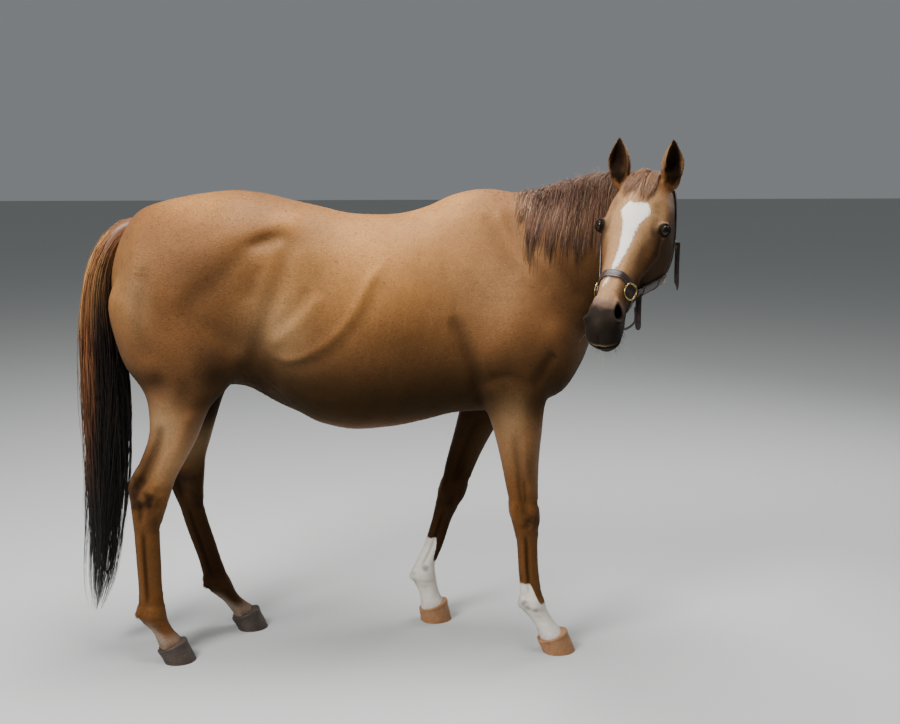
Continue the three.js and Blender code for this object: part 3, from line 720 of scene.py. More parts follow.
@dataclass
class Shell:
    """Closed lofts of the flesh, before they are made one skin."""

    grow: float = 0.0

    def trunk(self) -> tuple[Array, Array, Array]:
        """Upright sections along the body, rounded at rump and chest."""
        x = places(-1168, 492, 110, 0.55)
        size = np.maximum(rounding(x + 1168, 130), 0.05) * np.maximum(rounding(492 - x, 120), 0.05)
        y, z = section(TRUNK(x), 80, size, self.grow)
        return closed_loft(np.stack([np.broadcast_to(x[:, None], y.shape), y, z], -1))

    def leg(self, leg: Leg) -> tuple[Array, Array, Array]:
        """Level sections from inside the hoof up into the body, drawn in below the hair line."""
        z = places(leg.shape.at[0] - 30, leg.shape.at[-1], 130, -0.1)
        s, x = leg.shape(z), leg.line(z)["x"]
        columns = {
            "top": x + s["front"],
            "bottom": x - s["back"],
            "mid": x + (s["front"] - s["back"]) / 2,
            "half": s["half"],
            "upper": s["square"],
            "lower": s["square"],
        }
        across, forward = section(columns, 44, 1.0, self.grow)
        up = np.broadcast_to(z[:, None], forward.shape)
        under = ease(leg.hair_line(forward) - up, 2, 9) * 0.16
        across, forward = across * (1 - under), forward + (x[:, None] - forward) * under
        return closed_loft(np.stack([forward, leg.centre(z)[:, None] + across, up], -1))

    def neck(self) -> tuple[Array, Array, Array]:
        """Sections square to the neck's line."""
        t = places(0, 1, 60)
        across, up = section(NECK(t), 64, 1.0, self.grow)
        at, crest, aside = neck_frame(t)
        points = at[:, None] + aside[:, None] * across[..., None] + crest[:, None] * up[..., None]
        return closed_loft(points)

    def skull(self) -> tuple[Array, Array, Array]:
        """Sections across the head down to the muzzle."""
        s = places(-45, 605, 90, 0.3)
        size = np.maximum(rounding(605 - s, 24), 0.4)
        across, out = section(SKULL(s), 64, size, self.grow)
        return closed_loft(HEAD.point(np.broadcast_to(s[:, None], across.shape), across, out))

    def ball(self, at: tuple[float, ...], radii: tuple[float, ...]) -> tuple[Array, Array, Array]:
        """An ellipsoid on the head, its rings from pole to pole along the face."""
        a = np.linspace(0.02, np.pi - 0.02, 16)[:, None]
        b = np.linspace(0, 2 * np.pi, 24, endpoint=False)[None]
        s = at[0] - np.cos(a) * (radii[0] + self.grow) * np.ones_like(b)
        return closed_loft(
            HEAD.point(
                s,
                at[1] + np.sin(a) * np.cos(b) * (radii[1] + self.grow),
                at[2] + np.sin(a) * np.sin(b) * (radii[2] + self.grow),
            )
        )

    def swellings(self) -> list[tuple[Array, Array, Array]]:
        """Orbits, cheeks, nostrils and chin."""
        pairs = (
            ((192, 92, -38), (36, 22, 26)),
            ((205, 48, -172), (90, 36, 96)),
            ((540, 38, -46), (34, 19, 30)),
        )
        balls = [self.ball((a[0], side * a[1], a[2]), r) for a, r in pairs for side in (-1, 1)]
        return [*balls, self.ball((556, 0, -140), (32, 32, 20))]


EARS = {-1: ((22, 84, -34), 6.0), 1: ((22, 74, -32), 42.0)}


def ear_frame(side: int) -> tuple[Array, Array, Array, Array]:
    """Foot of an ear, and its directions up, out of its opening, and aside."""
    (s, across, out), turn = EARS[side]
    up = unit(UP + HEAD.axes()[1] * side * 0.1)
    front = turned(HEAD.heading(), UP, side * turn)
    front = unit(front - up * (front @ up))
    return HEAD.point(s, side * across, out), up, front, np.cross(up, front)


def ear_loft(side: int) -> tuple[Array, Array, Array]:
    """A leaf-shaped cup: an arc of wall at each height, thinning to a curled tip.

    Below the foot it shrinks and leans in under the skull's surface, so that the two flow together.
    The wall's outside is an ellipse's arc of 118 degrees each way from the middle of the back. Its inside is
    the same arc less the wall's thickness, lifted towards the rim near the foot, where the cup is shallow.
    """
    foot, up, front, aside = ear_frame(side)
    share = np.linspace(-0.34, 1, 76)
    sunk = ease(-share, -0.06, 0.34)[:, None]
    e = {k: v[:, None] for k, v in EAR(share).items()}
    e["half"], e["deep"] = e["half"] * (1 - 0.4 * sunk), e["deep"] * (1 - 0.4 * sunk)
    a = np.linspace(-np.radians(118), np.radians(118), 30)[None]
    inner = 1 - e["wall"] / e["half"]
    rim = -np.cos(np.radians(118)) * e["deep"]
    outside = (np.sin(a) * e["half"], -np.cos(a) * e["deep"])
    depth = rim + (-np.cos(a) * e["deep"] * inner - rim) * e["hollow"]
    inside = ((np.sin(a) * e["half"] * inner)[:, ::-1], depth[:, ::-1])
    x, y = (np.concatenate([outside[k] * np.ones_like(e["half"]), inside[k]], 1) for k in (0, 1))
    curl = 7 * ease(share, 0.55, 1)[:, None]
    x = x - side * curl
    points = (
        foot + up * (share * 142)[:, None, None] + aside * x[..., None] + front * (y + 0.4 * curl)[..., None]
    )
    return closed_loft(points - HEAD.axes()[1] * side * 34 * sunk[..., None])


def up_ear(points: Array) -> Array:
    """Share of an ear's height at each place by an ear, and 0 elsewhere."""
    out = np.zeros(len(points))
    for side in (-1, 1):
        foot, up, _, _ = ear_frame(side)
        q = points - foot
        high = q @ up
        by = np.linalg.norm(q - high[:, None] * up, axis=1) < 58
        out = np.where(by & (high > 0), high / 142, out)
    return out


# ------------------------------------------------------------------ relief


class Relief:
    """Lifts and hollows gathered over the skin, in millimetres along its normals."""

    def __init__(self, points: Array, normal: Array) -> None:
        """Keep the skin's points and normals in her frame and in the head's.

        Args:
            points: Vertices in her frame.
            normal: Their outward normals.
        """
        self.points, self.normal = points, normal
        self.lift = np.zeros(len(points))
        self.head = HEAD.local(points)
        self.head_normal = normal @ HEAD.axes().T
        throat = past_throat(points)
        self.on_head = ease(-throat, -12, 12)
        self.side = ease(np.abs(normal[:, 1]), 0.15, 0.6) * (1 - ease(-throat, -150, -60))

    def flank(self, at: tuple[float, float], radii: tuple[float, float], angle: float, lift: float) -> None:
        """A swelling on both flanks: a Gaussian of an ellipse in the upright plane, turned by `angle`."""
        a = np.radians(angle)
        x, z = self.points[:, 0] - at[0], self.points[:, 2] - at[1]
        u, v = x * np.cos(a) + z * np.sin(a), z * np.cos(a) - x * np.sin(a)
        self.lift += lift * self.side * np.exp(-((u / radii[0]) ** 2) - (v / radii[1]) ** 2)

    def line(self, path: list[tuple[float, float]], width: float, lift: float) -> None:
        """A ridge or groove on both flanks: a Gaussian of the distance to a curve in the upright plane."""
        curve = Path([(x, z, 0) for x, z in path], 24)
        near = self._near(path, width)
        flat = self.points[near][:, [0, 2]]
        fade = self._ends(curve, flat)
        self.lift[near] += 0.65 * lift * self.side[near] * bell(curve.distance(flat), width) * fade

    def _near(self, path: list[tuple[float, float]], width: float) -> Array:
        """Which points lie in the box round a path."""
        p = np.array(path)
        low, high = p.min(0) - 3 * width, p.max(0) + 3 * width
        flat = self.points[:, [0, 2]]
        return np.all((flat > low) & (flat < high), axis=1) & (self.side > 0)

    @staticmethod
    def _ends(curve: Path, flat: Array) -> Array:
        """Fade over the first and last sixth of a curve, by the nearer of its samples."""
        line = curve.points[::4, : flat.shape[1]]
        best = np.argmin(np.linalg.norm(flat[:, None] - line[None], axis=2), axis=1) / (len(line) - 1)
        return ease(best, -0.02, 0.16) * ease(1 - best, -0.02, 0.16)

    def face(self, at: tuple[float, float, float], radii: tuple[float, float, float], lift: float) -> None:
        """A swelling on both sides of the head: a Gaussian of an ellipsoid in the head's axes."""
        h = self.head * np.array([1, 0, 1]) + np.abs(self.head) * np.array([0, 1, 0])
        d = np.sum(((h - np.array(at)) / np.array(radii)) ** 2, axis=1)
        self.lift += lift * self.on_head * np.exp(-d)

    def face_line(self, path: list[tuple[float, float, float]], width: float, lift: float) -> None:
        """A ridge or groove on both sides of the head: a Gaussian of the distance to a curve."""
        h = self.head * np.array([1, 0, 1]) + np.abs(self.head) * np.array([0, 1, 0])
        p = np.array(path)
        near = np.all((h > p.min(0) - 3 * width) & (h < p.max(0) + 3 * width), axis=1) & (self.on_head > 0)
        curve = Path(path, 16)
        fade = self._ends(curve, h[near])
        self.lift[near] += lift * self.on_head[near] * bell(curve.distance(h[near], 2), width) * fade

    def limb(self, leg: Leg, z: tuple[float, float], u: float, width: float, lift: float, face: str) -> None:
        """A ridge or hollow down a leg.

        Args:
            leg: The leg.
            z: Heights between which it runs, with soft ends.
            u: Its place ahead of the leg's line, as a share of the leg's depth there.
            width: Its width, as the same share.
            lift: Millimetres out.
            face: `sides`, `outer`, `inner`, `front` or `back`.
        """
        p, n = self.points, self.normal
        x, y = leg.line(p[:, 2])["x"], leg.centre(p[:, 2])
        near = (np.abs(p[:, 1] - y) < 110) & (np.abs(p[:, 0] - x) < 170) & (p[:, 2] > z[0] - 60)
        near &= p[:, 2] < z[1] + 60
        q, m = p[near], n[near]
        s = leg.shape(q[:, 2])
        along = (q[:, 0] - x[near]) / ((s["front"] + s["back"]) / 2)
        soft = min(40.0, (z[1] - z[0]) / 2)
        window = (
            ease(q[:, 2], z[0] - soft / 2, z[0] + soft / 2)
            * ease(-q[:, 2], -z[1] - soft / 2, -z[1] + soft / 2)
        )
        outward = m[:, 1] * leg.side
        facing = {
            "sides": ease(np.abs(outward), 0.2, 0.8),
            "outer": ease(outward, 0.2, 0.8),
            "inner": ease(-outward, 0.2, 0.8),
            "front": ease(m[:, 0], 0.2, 0.8),
            "back": ease(-m[:, 0], 0.2, 0.8),
        }[face]
        self.lift[near] += 1.5 * lift * window * facing * bell(along - u, width)

    def moved(self) -> Array:
        """The points moved along their normals."""
        return self.points + self.normal * self.lift[:, None]


def flank_relief(r: Relief) -> None:
    """Bones, muscles, folds and veins of the body, from croup to chest."""
    r.flank((-545, 1538), (46, 36), 20, 13)
    r.flank((-612, 1482), (62, 24), 18, -15)
    r.flank((-470, 1490), (80, 60), 0, -6)
    r.flank((-470, 1370), (80, 90), 0, -8)
    r.flank((-800, 1490), (150, 80), -10, 7)
    r.line([(-590, 1500), (-690, 1438), (-765, 1367), (-844, 1300), (-905, 1215)], 36, -9)
    r.line([(-640, 1400), (-665, 1330), (-680, 1280)], 22, -5)
    r.flank((-735, 1230), (90, 100), 0, 9)
    r.flank((-930, 1300), (80, 130), 10, 6)
    r.line([(-537, 1507), (-552, 1446), (-590, 1319), (-628, 1208), (-662, 1110), (-700, 1030)], 30, -11)
    r.line(
        [(-613, 1112), (-552, 1086), (-441, 1136), (-368, 1202), (-314, 1287), (-281, 1352), (-210, 1430)],
        17,
        7,
    )
    r.line([(-560, 1050), (-430, 1095), (-330, 1190), (-270, 1290), (-235, 1350)], 26, -5)
    r.line([(-613, 1130), (-557, 1180), (-484, 1246), (-438, 1310)], 24, 6)
    r.line([(-590, 1190), (-520, 1260), (-480, 1330)], 22, -5)
    for k in range(7):
        x = -250 + 46 * k
        r.line([(x - 60, 1000), (x - 20, 1150), (x + 8, 1300), (x + 10, 1420)], 15, 1.3)
    r.line([(-14, 1230), (23, 1157), (60, 1054), (84, 955), (96, 890)], 24, -15)
    r.flank((140, 1090), (75, 100), -20, 12)
    r.flank((116, 962), (34, 28), 0, 9)
    r.flank((60, 1420), (110, 100), 0, 4)
    r.line([(150, 1570), (170, 1515), (202, 1430), (248, 1360), (280, 1300)], 13, 5)
    r.line([(108, 1560), (130, 1500), (166, 1415), (212, 1335)], 24, -6)
    r.line([(190, 1580), (218, 1500), (252, 1420), (292, 1345), (318, 1290)], 20, -6)
    r.line([(300, 1480), (335, 1400), (381, 1331), (430, 1262)], 24, -8)
    r.flank((200, 1230), (70, 90), 0, 5)
    r.flank((352, 1165), (55, 50), 0, 10)
    r.line([(345, 1090), (318, 1058), (298, 1020), (262, 965)], 20, -11)
    r.line([(100, 1000), (171, 1016), (223, 1000), (268, 975)], 18, -6)
    r.flank((240, 900), (36, 90), 0, 6)
    r.line([(-620, 985), (-548, 945), (-448, 892), (-360, 896), (-280, 930)], 8, 2.6)
    r.line([(-560, 1000), (-470, 950), (-400, 940), (-330, 900)], 7, 2.0)
    r.line([(-1015, 1400), (-1029, 1290), (-1038, 1180), (-1010, 1080)], 26, -9)
    r.flank((-985, 1000), (32, 40), 0, -9)
    r.flank((-900, 965), (28, 50), 0, -6)
    r.flank((-705, 1085), (52, 46), 0, 8)
    low = r.points
    spine = bell(low[:, 1], 26) * ease(r.normal[:, 2], 0.4, 0.9)
    r.lift -= 5 * spine * ease(-low[:, 0], 560, 720)
    r.lift += 4 * spine * bell(low[:, 0] - 120, 160)
    cleft = bell(low[:, 1], 24) * ease(-r.normal[:, 0], 0.1, 0.7)
    r.lift -= 16 * cleft * ease(-low[:, 0], 960, 1080)
    breast = bell(low[:, 1] + 12, 26) * ease(r.normal[:, 0], 0.2, 0.8) * (1 - r.on_head)
    r.lift -= 12 * breast * ease(low[:, 0], 380, 460) * ease(-low[:, 2], -1330, -1180)
    r.lift += (
        9 * bell(np.abs(low[:, 1]) - 75, 48) * bell(low[:, 2] - 1120, 90) * ease(r.normal[:, 0], 0.2, 0.8)
    )
    udder = bell(low[:, 0] + 620, 70) * bell(np.abs(low[:, 1]) - 34, 34) * ease(-r.normal[:, 2], 0.2, 0.8)
    r.lift += 16 * udder


def leg_relief(r: Relief) -> None:
    """Joints, tendons and hollows of the four legs."""
    for name, leg in LEGS.items():
        if name.endswith("fore"):
            r.limb(leg, (560, 800), -0.25, 0.16, -3.5, "sides")
            r.limb(leg, (600, 860), 0.42, 0.30, 3.5, "sides")
            r.limb(leg, (455, 548), 0.45, 0.35, 4, "sides")
            r.limb(leg, (470, 500), 0.05, 0.25, -2.5, "sides")
            r.limb(leg, (500, 555), -0.75, 0.3, 5, "back")
            r.limb(leg, (225, 430), -0.18, 0.17, -4, "sides")
            r.limb(leg, (225, 430), -0.62, 0.2, 2.2, "sides")
            r.limb(leg, (440, 470), 0.0, 2.0, -1.5, "front")
            r.limb(leg, (535, 560), 0.0, 2.0, -2.5, "front")
            r.limb(leg, (215, 300), -0.72, 0.14, -2.5, "sides")
            r.limb(leg, (488, 520), 0.5, 0.16, 3.5, "outer")
            r.limb(leg, (460, 480), -0.1, 0.5, -2.0, "sides")
            r.limb(leg, (560, 640), 0.05, 0.12, -3.0, "sides")
            r.limb(leg, (640, 800), 0.12, 0.07, 1.8, "outer")
        else:
            r.limb(leg, (630, 850), -0.45, 0.20, -8, "sides")
            r.limb(leg, (640, 900), 0.40, 0.32, 5, "outer")
            r.limb(leg, (585, 650), -0.30, 0.2, 5, "sides")
            r.limb(leg, (500, 570), 0.25, 0.3, 4, "inner")
            r.limb(leg, (520, 600), -0.38, 0.16, -4, "sides")
            r.limb(leg, (560, 600), 0.55, 0.25, -3, "sides")
            r.limb(leg, (225, 470), -0.15, 0.17, -4, "sides")
            r.limb(leg, (225, 470), -0.6, 0.2, 2.2, "sides")
            r.limb(leg, (690, 780), 0.1, 0.10, 2.5, "outer")
            r.limb(leg, (470, 500), 0.0, 2.0, -2, "front")
            r.limb(leg, (650, 700), -0.8, 0.3, 4, "back")
            r.limb(leg, (612, 650), 0.12, 0.16, 5, "outer")
            r.limb(leg, (566, 600), 0.1, 0.14, -4, "outer")
            r.limb(leg, (505, 560), -0.05, 0.2, 2.5, "outer")
            r.limb(leg, (655, 700), 0.3, 0.25, -3, "front")
        r.limb(leg, (165, 205), 0.05, 0.55, 4, "sides")
        r.limb(leg, (170, 205), -0.8, 0.3, 4, "back")
        r.limb(leg, (108, 140), -0.1, 0.35, -3.5, "sides")
        r.limb(leg, (205, 235), 0.0, 2.0, -1.5, "front")
        r.limb(leg, (165, 185), 0.0, 2.0, 3, "back")


def head_relief(r: Relief) -> None:
    """Bones, hollows and veins of the head, before its openings."""
    r.face((138, 76, -4), (26, 20, 22), -7)
    r.face((190, 84, -14), (34, 22, 22), -4)
    r.face((196, 112, -50), (34, 20, 30), -4)
    r.face_line([(196, 112, -62), (160, 112, -64), (110, 104, -66), (60, 96, -70)], 13, 4)
    r.face_line([(232, 92, -80), (285, 76, -76), (340, 60, -68), (372, 52, -60)], 13, 4.5)
    r.face((300, 66, -32), (52, 18, 22), -6)
    r.face((335, 62, -104), (44, 22, 24), -5)
    r.face((250, 84, -60), (24, 18, 14), -3)
    r.face((200, 100, -175), (60, 22, 60), 4)
    r.face_line([(255, 38, 8), (330, 31, 3), (400, 27, 1), (470, 24, -2)], 10, 3)
    r.face((465, 44, -34), (34, 16, 20), -5)
    r.face((430, 46, -128), (36, 16, 18), -5)
    r.face((515, 0, -150), (16, 30, 16), -6)
    r.face((590, 16, -84), (20, 22, 20), 4)
    r.face((592, 0, -72), (22, 7, 26), -3)
    r.face((150, 0, 20), (60, 30, 20), 3)
    r.face_line([(322, 78, -196), (338, 66, -150), (366, 56, -104), (400, 52, -80)], 6, 2.4)
    r.face_line([(236, 104, -44), (270, 84, -50), (300, 74, -54)], 6, 2.0)
    r.face_line([(330, 60, -92), (350, 57, -108), (352, 54, -126)], 9, -3)
    channel = bell(r.head[:, 1], 26) * ease(-r.head_normal[:, 2], 0.3, 0.8)
    r.lift -= 12 * r.on_head * channel * ease(r.head[:, 0], 150, 210) * ease(-r.head[:, 0], -430, -360)


def modelled(points: Array, normal: Array) -> Relief:
    """The whole relief at some places."""
    relief = Relief(points, normal)
    flank_relief(relief)
    leg_relief(relief)
    head_relief(relief)
    return relief


def gaze(side: int) -> tuple[Array, Array, Array]:
    """Directions, in the head's axes, in which an eye looks, towards its front corner and up."""
    look = unit(np.array([0.47, side * 0.84, 0.86]))
    front = unit(np.array([1.0, 0, 0]) - look * look[0])
    front = unit(front + np.cross(look, front) * 0.24 * side)
    return look, front, np.cross(front, look) * side


def eye_place(h: Array, side: int) -> tuple[Array, Array, Array, Array, Array]:
    """Where places on the head lie as seen from an eye's middle.

    Args:
        h: Places on the head (along, across, out).
        side: -1 for the right eye, 1 for the left.

    Returns:
        Arc lengths on the eyeball towards its front corner and up, the size of the lids' almond through
        each place (1 at the lids' edge), its distance from the middle, and its direction.
    """
    look, front, up = gaze(side)
    away = h - np.array([EYE_AT[0], side * EYE_AT[1], EYE_AT[2]])
    reach = np.linalg.norm(away, axis=1)
    away = away / (reach[:, None] + 1e-9)
    angle = np.arccos(np.clip(away @ look, -1, 1))
    flat = unit(np.stack([away @ front, away @ up], 1)) * (angle * EYE_RADIUS)[:, None]
    a, b = flat.T
    almond = ((np.abs(a) / 21.5) ** 1.7 + (np.abs(b) / np.where(b > 0, 13.2, 10.4)) ** 1.9) ** 0.55
    return a, b, almond, reach, away


MOUTH = Table("out", (440, -94), (500, -103), (560, -106), (600, -96), (630, -84))


def nostril_place(h: Array, side: int) -> tuple[Array, Array]:
    """Where places on the head lie as seen from a nostril's middle.

    The nostril is a comma: an oval 56 by 37 mm whose long axis bends towards the nose's tip at both ends.

    Args:
        h: Places on the head (along, across, out).
        side: -1 for the right nostril, 1 for the left.

    Returns:
        The size of the oval through each place (1 at its rim, 9 far away), and the way that it faces.
    """
    facing = unit(np.array([0.25, side * 0.75, 0.6]))
    down = np.array([0.85, side * -0.25, -0.45])
    down = unit(down - facing * (facing @ down))
    aside = np.cross(facing, down) * side
    q = h - np.array([519, side * 42, -34])
    a, b = q @ down, q @ aside
    oval = np.sqrt((a / 28) ** 2 + ((b + 0.008 * a * a) / (18.5 + 0.14 * a)) ** 2)
    return np.where((np.abs(q @ facing) < 42) & (side * h[:, 1] > 4), oval, 9.0), facing


def cut_openings(points: Array, normal: Array, on_head: Array) -> Array:
    """Shape the lids round each eye, the nostrils and the mouth.

    Round an eye the skin follows a ball a lid's thickness outside the eye's own, out to the edge of the
    orbit, and inside an almond it drops behind the eye's surface. A nostril is a pit with a flared rim. The
    mouth is a groove along the muzzle.

    Args:
        points: Vertices in her frame.
        normal: Their normals.
        on_head: How far each lies on the head, 0 to 1.

    Returns:
        The moved vertices.
    """
    h = HEAD.local(points)
    for side in (-1, 1):
        a, b, almond, reach, away = eye_place(h, side)
        near = (almond < 3.2) & (on_head > 0.5) & (reach < 75)
        rim = 0.5 * bell(almond - 1.12, 0.18) + 1.4 * bell(b - 23, 4.5) * bell(a, 24)
        rim = rim - 2.2 * bell(b - 18.8, 2.4) * bell(a, 25) - 1.5 * bell(b + 16.5, 2.4) * bell(a, 21)
        lid = EYE_RADIUS + 2.6 + rim
        far = reach + (lid - reach) * (1 - ease(almond, 1.15, 2.7))
        far = far + (EYE_RADIUS - 4.5 - far) * (1 - ease(almond, 0.9, 1.0))
        middle_at = np.array([EYE_AT[0], side * EYE_AT[1], EYE_AT[2]])
        h = np.where(near[:, None], middle_at + away * far[:, None], h)
    for side in (-1, 1):
        oval, facing = nostril_place(h, side)
        move = 4.5 * bell(oval - 1.2, 0.26) - 34 * (1 - ease(oval, 0.3, 1.02))
        h = h + facing * (np.where(on_head > 0.5, move, 0) * (oval < 3))[:, None]
    gap = h[:, 2] - MOUTH(h[:, 0])["out"]
    run = ease(h[:, 0], 462, 492) * on_head
    sink = -6.5 * bell(gap, 3.6) + 2.2 * bell(gap - 8, 5) + 1.6 * bell(gap + 8, 5)
    return HEAD.point(h[:, 0], h[:, 1], h[:, 2]) + normal * (run * sink)[:, None]


# ------------------------------------------------------------------ the skin


class Magnifier:
    """Swells the space round the head, so that one voxel size gives it a finer mesh.

    Lengths along an axis from neck to muzzle are magnified by a factor that rises from 1 to `power`, and
    lengths square to it are scaled by the same factor about a centre. Both steps can be undone.
    """

    def __init__(self, power: float) -> None:
        """Tabulate the magnified length along the axis."""
        self.axis = unit(np.array([0.5, -0.85, 0.0]))
        self.basis = np.stack([self.axis, np.cross(UP, self.axis), UP])
        self.centre = self.basis @ np.array([520, -560, 1520])
        self.q = np.linspace(-1500, 1500, 6001)
        self.factor = 1 + (power - 1) * ease(self.q, 400, 560)
        self.far = np.concatenate([[0], np.cumsum((self.factor[1:] + self.factor[:-1]) / 2)]) * 0.5 - 1500

    def swell(self, points: Array) -> Array:
        """Magnify points."""
        b = points @ self.basis.T
        g = np.interp(b[:, 0], self.q, self.factor)[:, None]
        side = self.centre[1:] + (b[:, 1:] - self.centre[1:]) * g
        return np.hstack([np.interp(b[:, :1], self.q, self.far), side])

    def undo(self, points: Array) -> Array:
        """Bring magnified points back."""
        q = np.interp(points[:, 0], self.far, self.q)
        g = np.interp(q, self.q, self.factor)[:, None]
        side = self.centre[1:] + (points[:, 1:] - self.centre[1:]) / g
        return np.hstack([q[:, None], side]) @ self.basis


def refined(points: Array, tris: Array, where: Array) -> tuple[Array, Array]:
    """Halve the edges of the triangles whose corners are all marked, and join them to their neighbours.

    Args:
        points: Vertices.
        tris: Triangles.
        where: Mark of each vertex.

    Returns:
        Points and triangles, with the neighbours split to match.
    """
    full = where[tris].all(axis=1)
    size = np.int64(len(points))

    def key(faces: Array, i: int, j: int) -> Array:
        """One number for the edge between two corners of each face, whichever way it runs."""
        low, high = np.minimum(faces[:, i], faces[:, j]), np.maximum(faces[:, i], faces[:, j])
        return low.astype(np.int64) * size + high

    pairs = ((0, 1), (1, 2), (2, 0))
    split = np.unique(np.concatenate([key(tris[full], i, j) for i, j in pairs]))
    middles = (points[split // size] + points[split % size]) / 2
    marks = []
    for i, j in pairs:
        k = key(tris, i, j)
        at = np.clip(np.searchsorted(split, k), 0, len(split) - 1)
        marks.append(np.where(split[at] == k, at + len(points), -1))
    m = np.stack(marks, 1)
    count = (m >= 0).sum(1)
    out = [tris[count == 0]]
    a, b, c = tris[count == 3].T
    ab, bc, ca = m[count == 3].T
    out += [np.stack(t, 1) for t in ((a, ab, ca), (ab, b, bc), (ca, bc, c), (ab, bc, ca))]
    for k in range(3):
        one = (count == 1) & (m[:, k] >= 0)
        a, b, c = (tris[one][:, (k + i) % 3] for i in range(3))
        mid = m[one][:, k]
        out += [np.stack([a, mid, c], 1), np.stack([mid, b, c], 1)]
        two = (count == 2) & (m[:, k] < 0)
        a, b, c = (tris[two][:, (k + i) % 3] for i in range(3))
        bc, ca = m[two][:, (k + 1) % 3], m[two][:, (k + 2) % 3]
        out += [np.stack([a, b, bc], 1), np.stack([a, bc, ca], 1), np.stack([ca, bc, c], 1)]
    return np.vstack([points, middles]), np.vstack(out)


@dataclass
class Skin:
    """Her whole skin as one surface, a coat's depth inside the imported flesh."""

    voxel: float = 8.5
    power: float = 3.0
    depth: float = 2.0
    most: int = 196_000
    points: Array = field(default_factory=lambda: np.empty((0, 3)))
    tris: Array = field(default_factory=lambda: np.empty((0, 3), int))
    normal: Array = field(default_factory=lambda: np.empty((0, 3)))
    piece: bpy.types.Object | None = None

    def build(self) -> bpy.types.Object:
        """Join the lofts by voxels, smooth the joins, model the relief and thin the mesh out.

        Returns:
            The skin's object, in metres.
        """
        shell = Shell()
        parts = [shell.trunk(), shell.neck(), shell.skull(), *shell.swellings()]
        parts += [shell.leg(leg) for leg in LEGS.values()]
        parts += [ear_loft(side) for side in (-1, 1)]
        points, quads, tris = joined(parts)
        lens = Magnifier(self.power)
        blank = make("blank", lens.swell(points), quads, tris)
        mod = blank.modifiers.new("voxels", "REMESH")
        mod.mode, mod.voxel_size, mod.adaptivity = "VOXEL", self.voxel, 0.0
        points, tris = read(baked(blank))
        points = lens.undo(points)
        log.info("skin remeshed: %d points", len(points))
        points = self._smooth(points, tris)
        points, tris = self._refine(points, tris)
        points = self._shape(points, tris)
        self.piece = self._thin(points, tris)
        return self.piece

    def _smooth(self, points: Array, tris: Array) -> Array:
        """Fill the creases where lofts meet, wide on the body and little on legs, head and ears."""
        on_head = ease(-past_throat(points), -60, 20)
        ear = up_ear(points) > 0.1
        body = ease(points[:, 2], 760, 900) * (1 - on_head)
        rounds = int(90 * (5 / self.voxel) ** 2) + 10
        points = relaxed(points, tris, rounds, body, np.full(len(points), 0.12))
        skull = on_head * (1 - ease(up_ear(points), 0.04, 0.2))
        points = relaxed(points, tris, 16, np.maximum(skull, 0.2 * (1 - on_head)), np.full(len(points), 0.25))
        soft = np.full(len(points), 0.9)
        return relaxed(points, tris, 3, np.where(ear & (on_head > 0.5), 0.35, 0.6), soft)

    @staticmethod
    def _refine(points: Array, tris: Array) -> tuple[Array, Array]:
        """Halve the mesh on the lower legs, and round the eyes, nostrils and mouth, the eyes twice."""
        low = points[:, 2] < 640
        points, tris = refined(points, tris, low)
        for radius, muzzle_too in ((52, True), (36, False)):
            h = HEAD.local(points)
            a = np.abs(h[:, 1])
            eye = np.linalg.norm((np.stack([h[:, 0], a, h[:, 2]], 1) - np.array(EYE_AT)), axis=1) < radius
            muzzle = (h[:, 0] > 470) & (h[:, 0] < 640) & (a < 90) & (h[:, 2] < 10) & muzzle_too
            points, tris = refined(points, tris, (eye & (a > 50)) | muzzle)
        return points, tris

    def _shape(self, points: Array, tris: Array) -> Array:
        """Add the relief, the openings and the coat's depth, and settle the result a little."""
        relief = modelled(points, normals_of(points, tris))
        points = relief.moved()
        points = relaxed(points, tris, 2, np.full(len(points), 0.4), np.full(len(points), 0.8))
        normal = normals_of(points, tris)
        fine = np.maximum(relief.on_head, ease(-points[:, 2], -700, -500))
        points = points - normal * (self.depth * (1 - 0.5 * fine))[:, None]
        return cut_openings(points, normal, relief.on_head)

    def _thin(self, points: Array, tris: Array) -> bpy.types.Object:
        """Collapse edges where the surface is plain, down to the most triangles."""
        log.info("skin shaped: %d triangles", len(tris))
        obj = make("skin", placed(points), tris)
        if len(tris) > self.most:
            mod = obj.modifiers.new("thin", "DECIMATE")
            mod.ratio = self.most / len(tris)
            mesh = baked(obj)
            obj = bpy.data.objects.new("skin", mesh)
            bpy.context.scene.collection.objects.link(obj)
            mesh.polygons.foreach_set("use_smooth", np.ones(len(mesh.polygons), bool))
        metres, self.tris = read(obj.data)
        self.points = (metres - ORIGIN) * 1000
        self.normal = normals_of(self.points, self.tris)
        log.info("skin: %d triangles", len(self.tris))
        return obj

    def tree(self) -> BVHTree:
        """A search tree over the skin, in millimetres."""
        return BVHTree.FromPolygons(self.points.tolist(), self.tris.tolist())


# ------------------------------------------------------------------ colours of the coat


class Shade(Enum):
    """The coat's colours in sRGB, several of which also serve as painted shade and painted highlights."""

    GOLD = "b07a42"
    SAND = "ad8860"
    CHESTNUT = "70492a"
    RED = "643d1a"
    LIVER = "2c1a0c"
    BELLY = "241808"
    DARK = "17100c"
    BLACK = "070505"
    MUZZLE = "121110"
    LIP = "7d6a4c"
    PINK = "66524b"
    PALE = "94806e"
    WHITE = "ded6ca"
    GREY = "86807a"


BLAZE = Table(
    "centre half",
    (134, 12, 26),
    (150, 11, 37),
    (172, 9, 43),
    (205, 7, 29),
    (226, 6, 22),
    (270, 6, 17),
    (320, 3, 12),
    (365, -2, 8),
    (398, -7, 3.5),
    (430, -13, 3),
    (446, -18, 2),
)


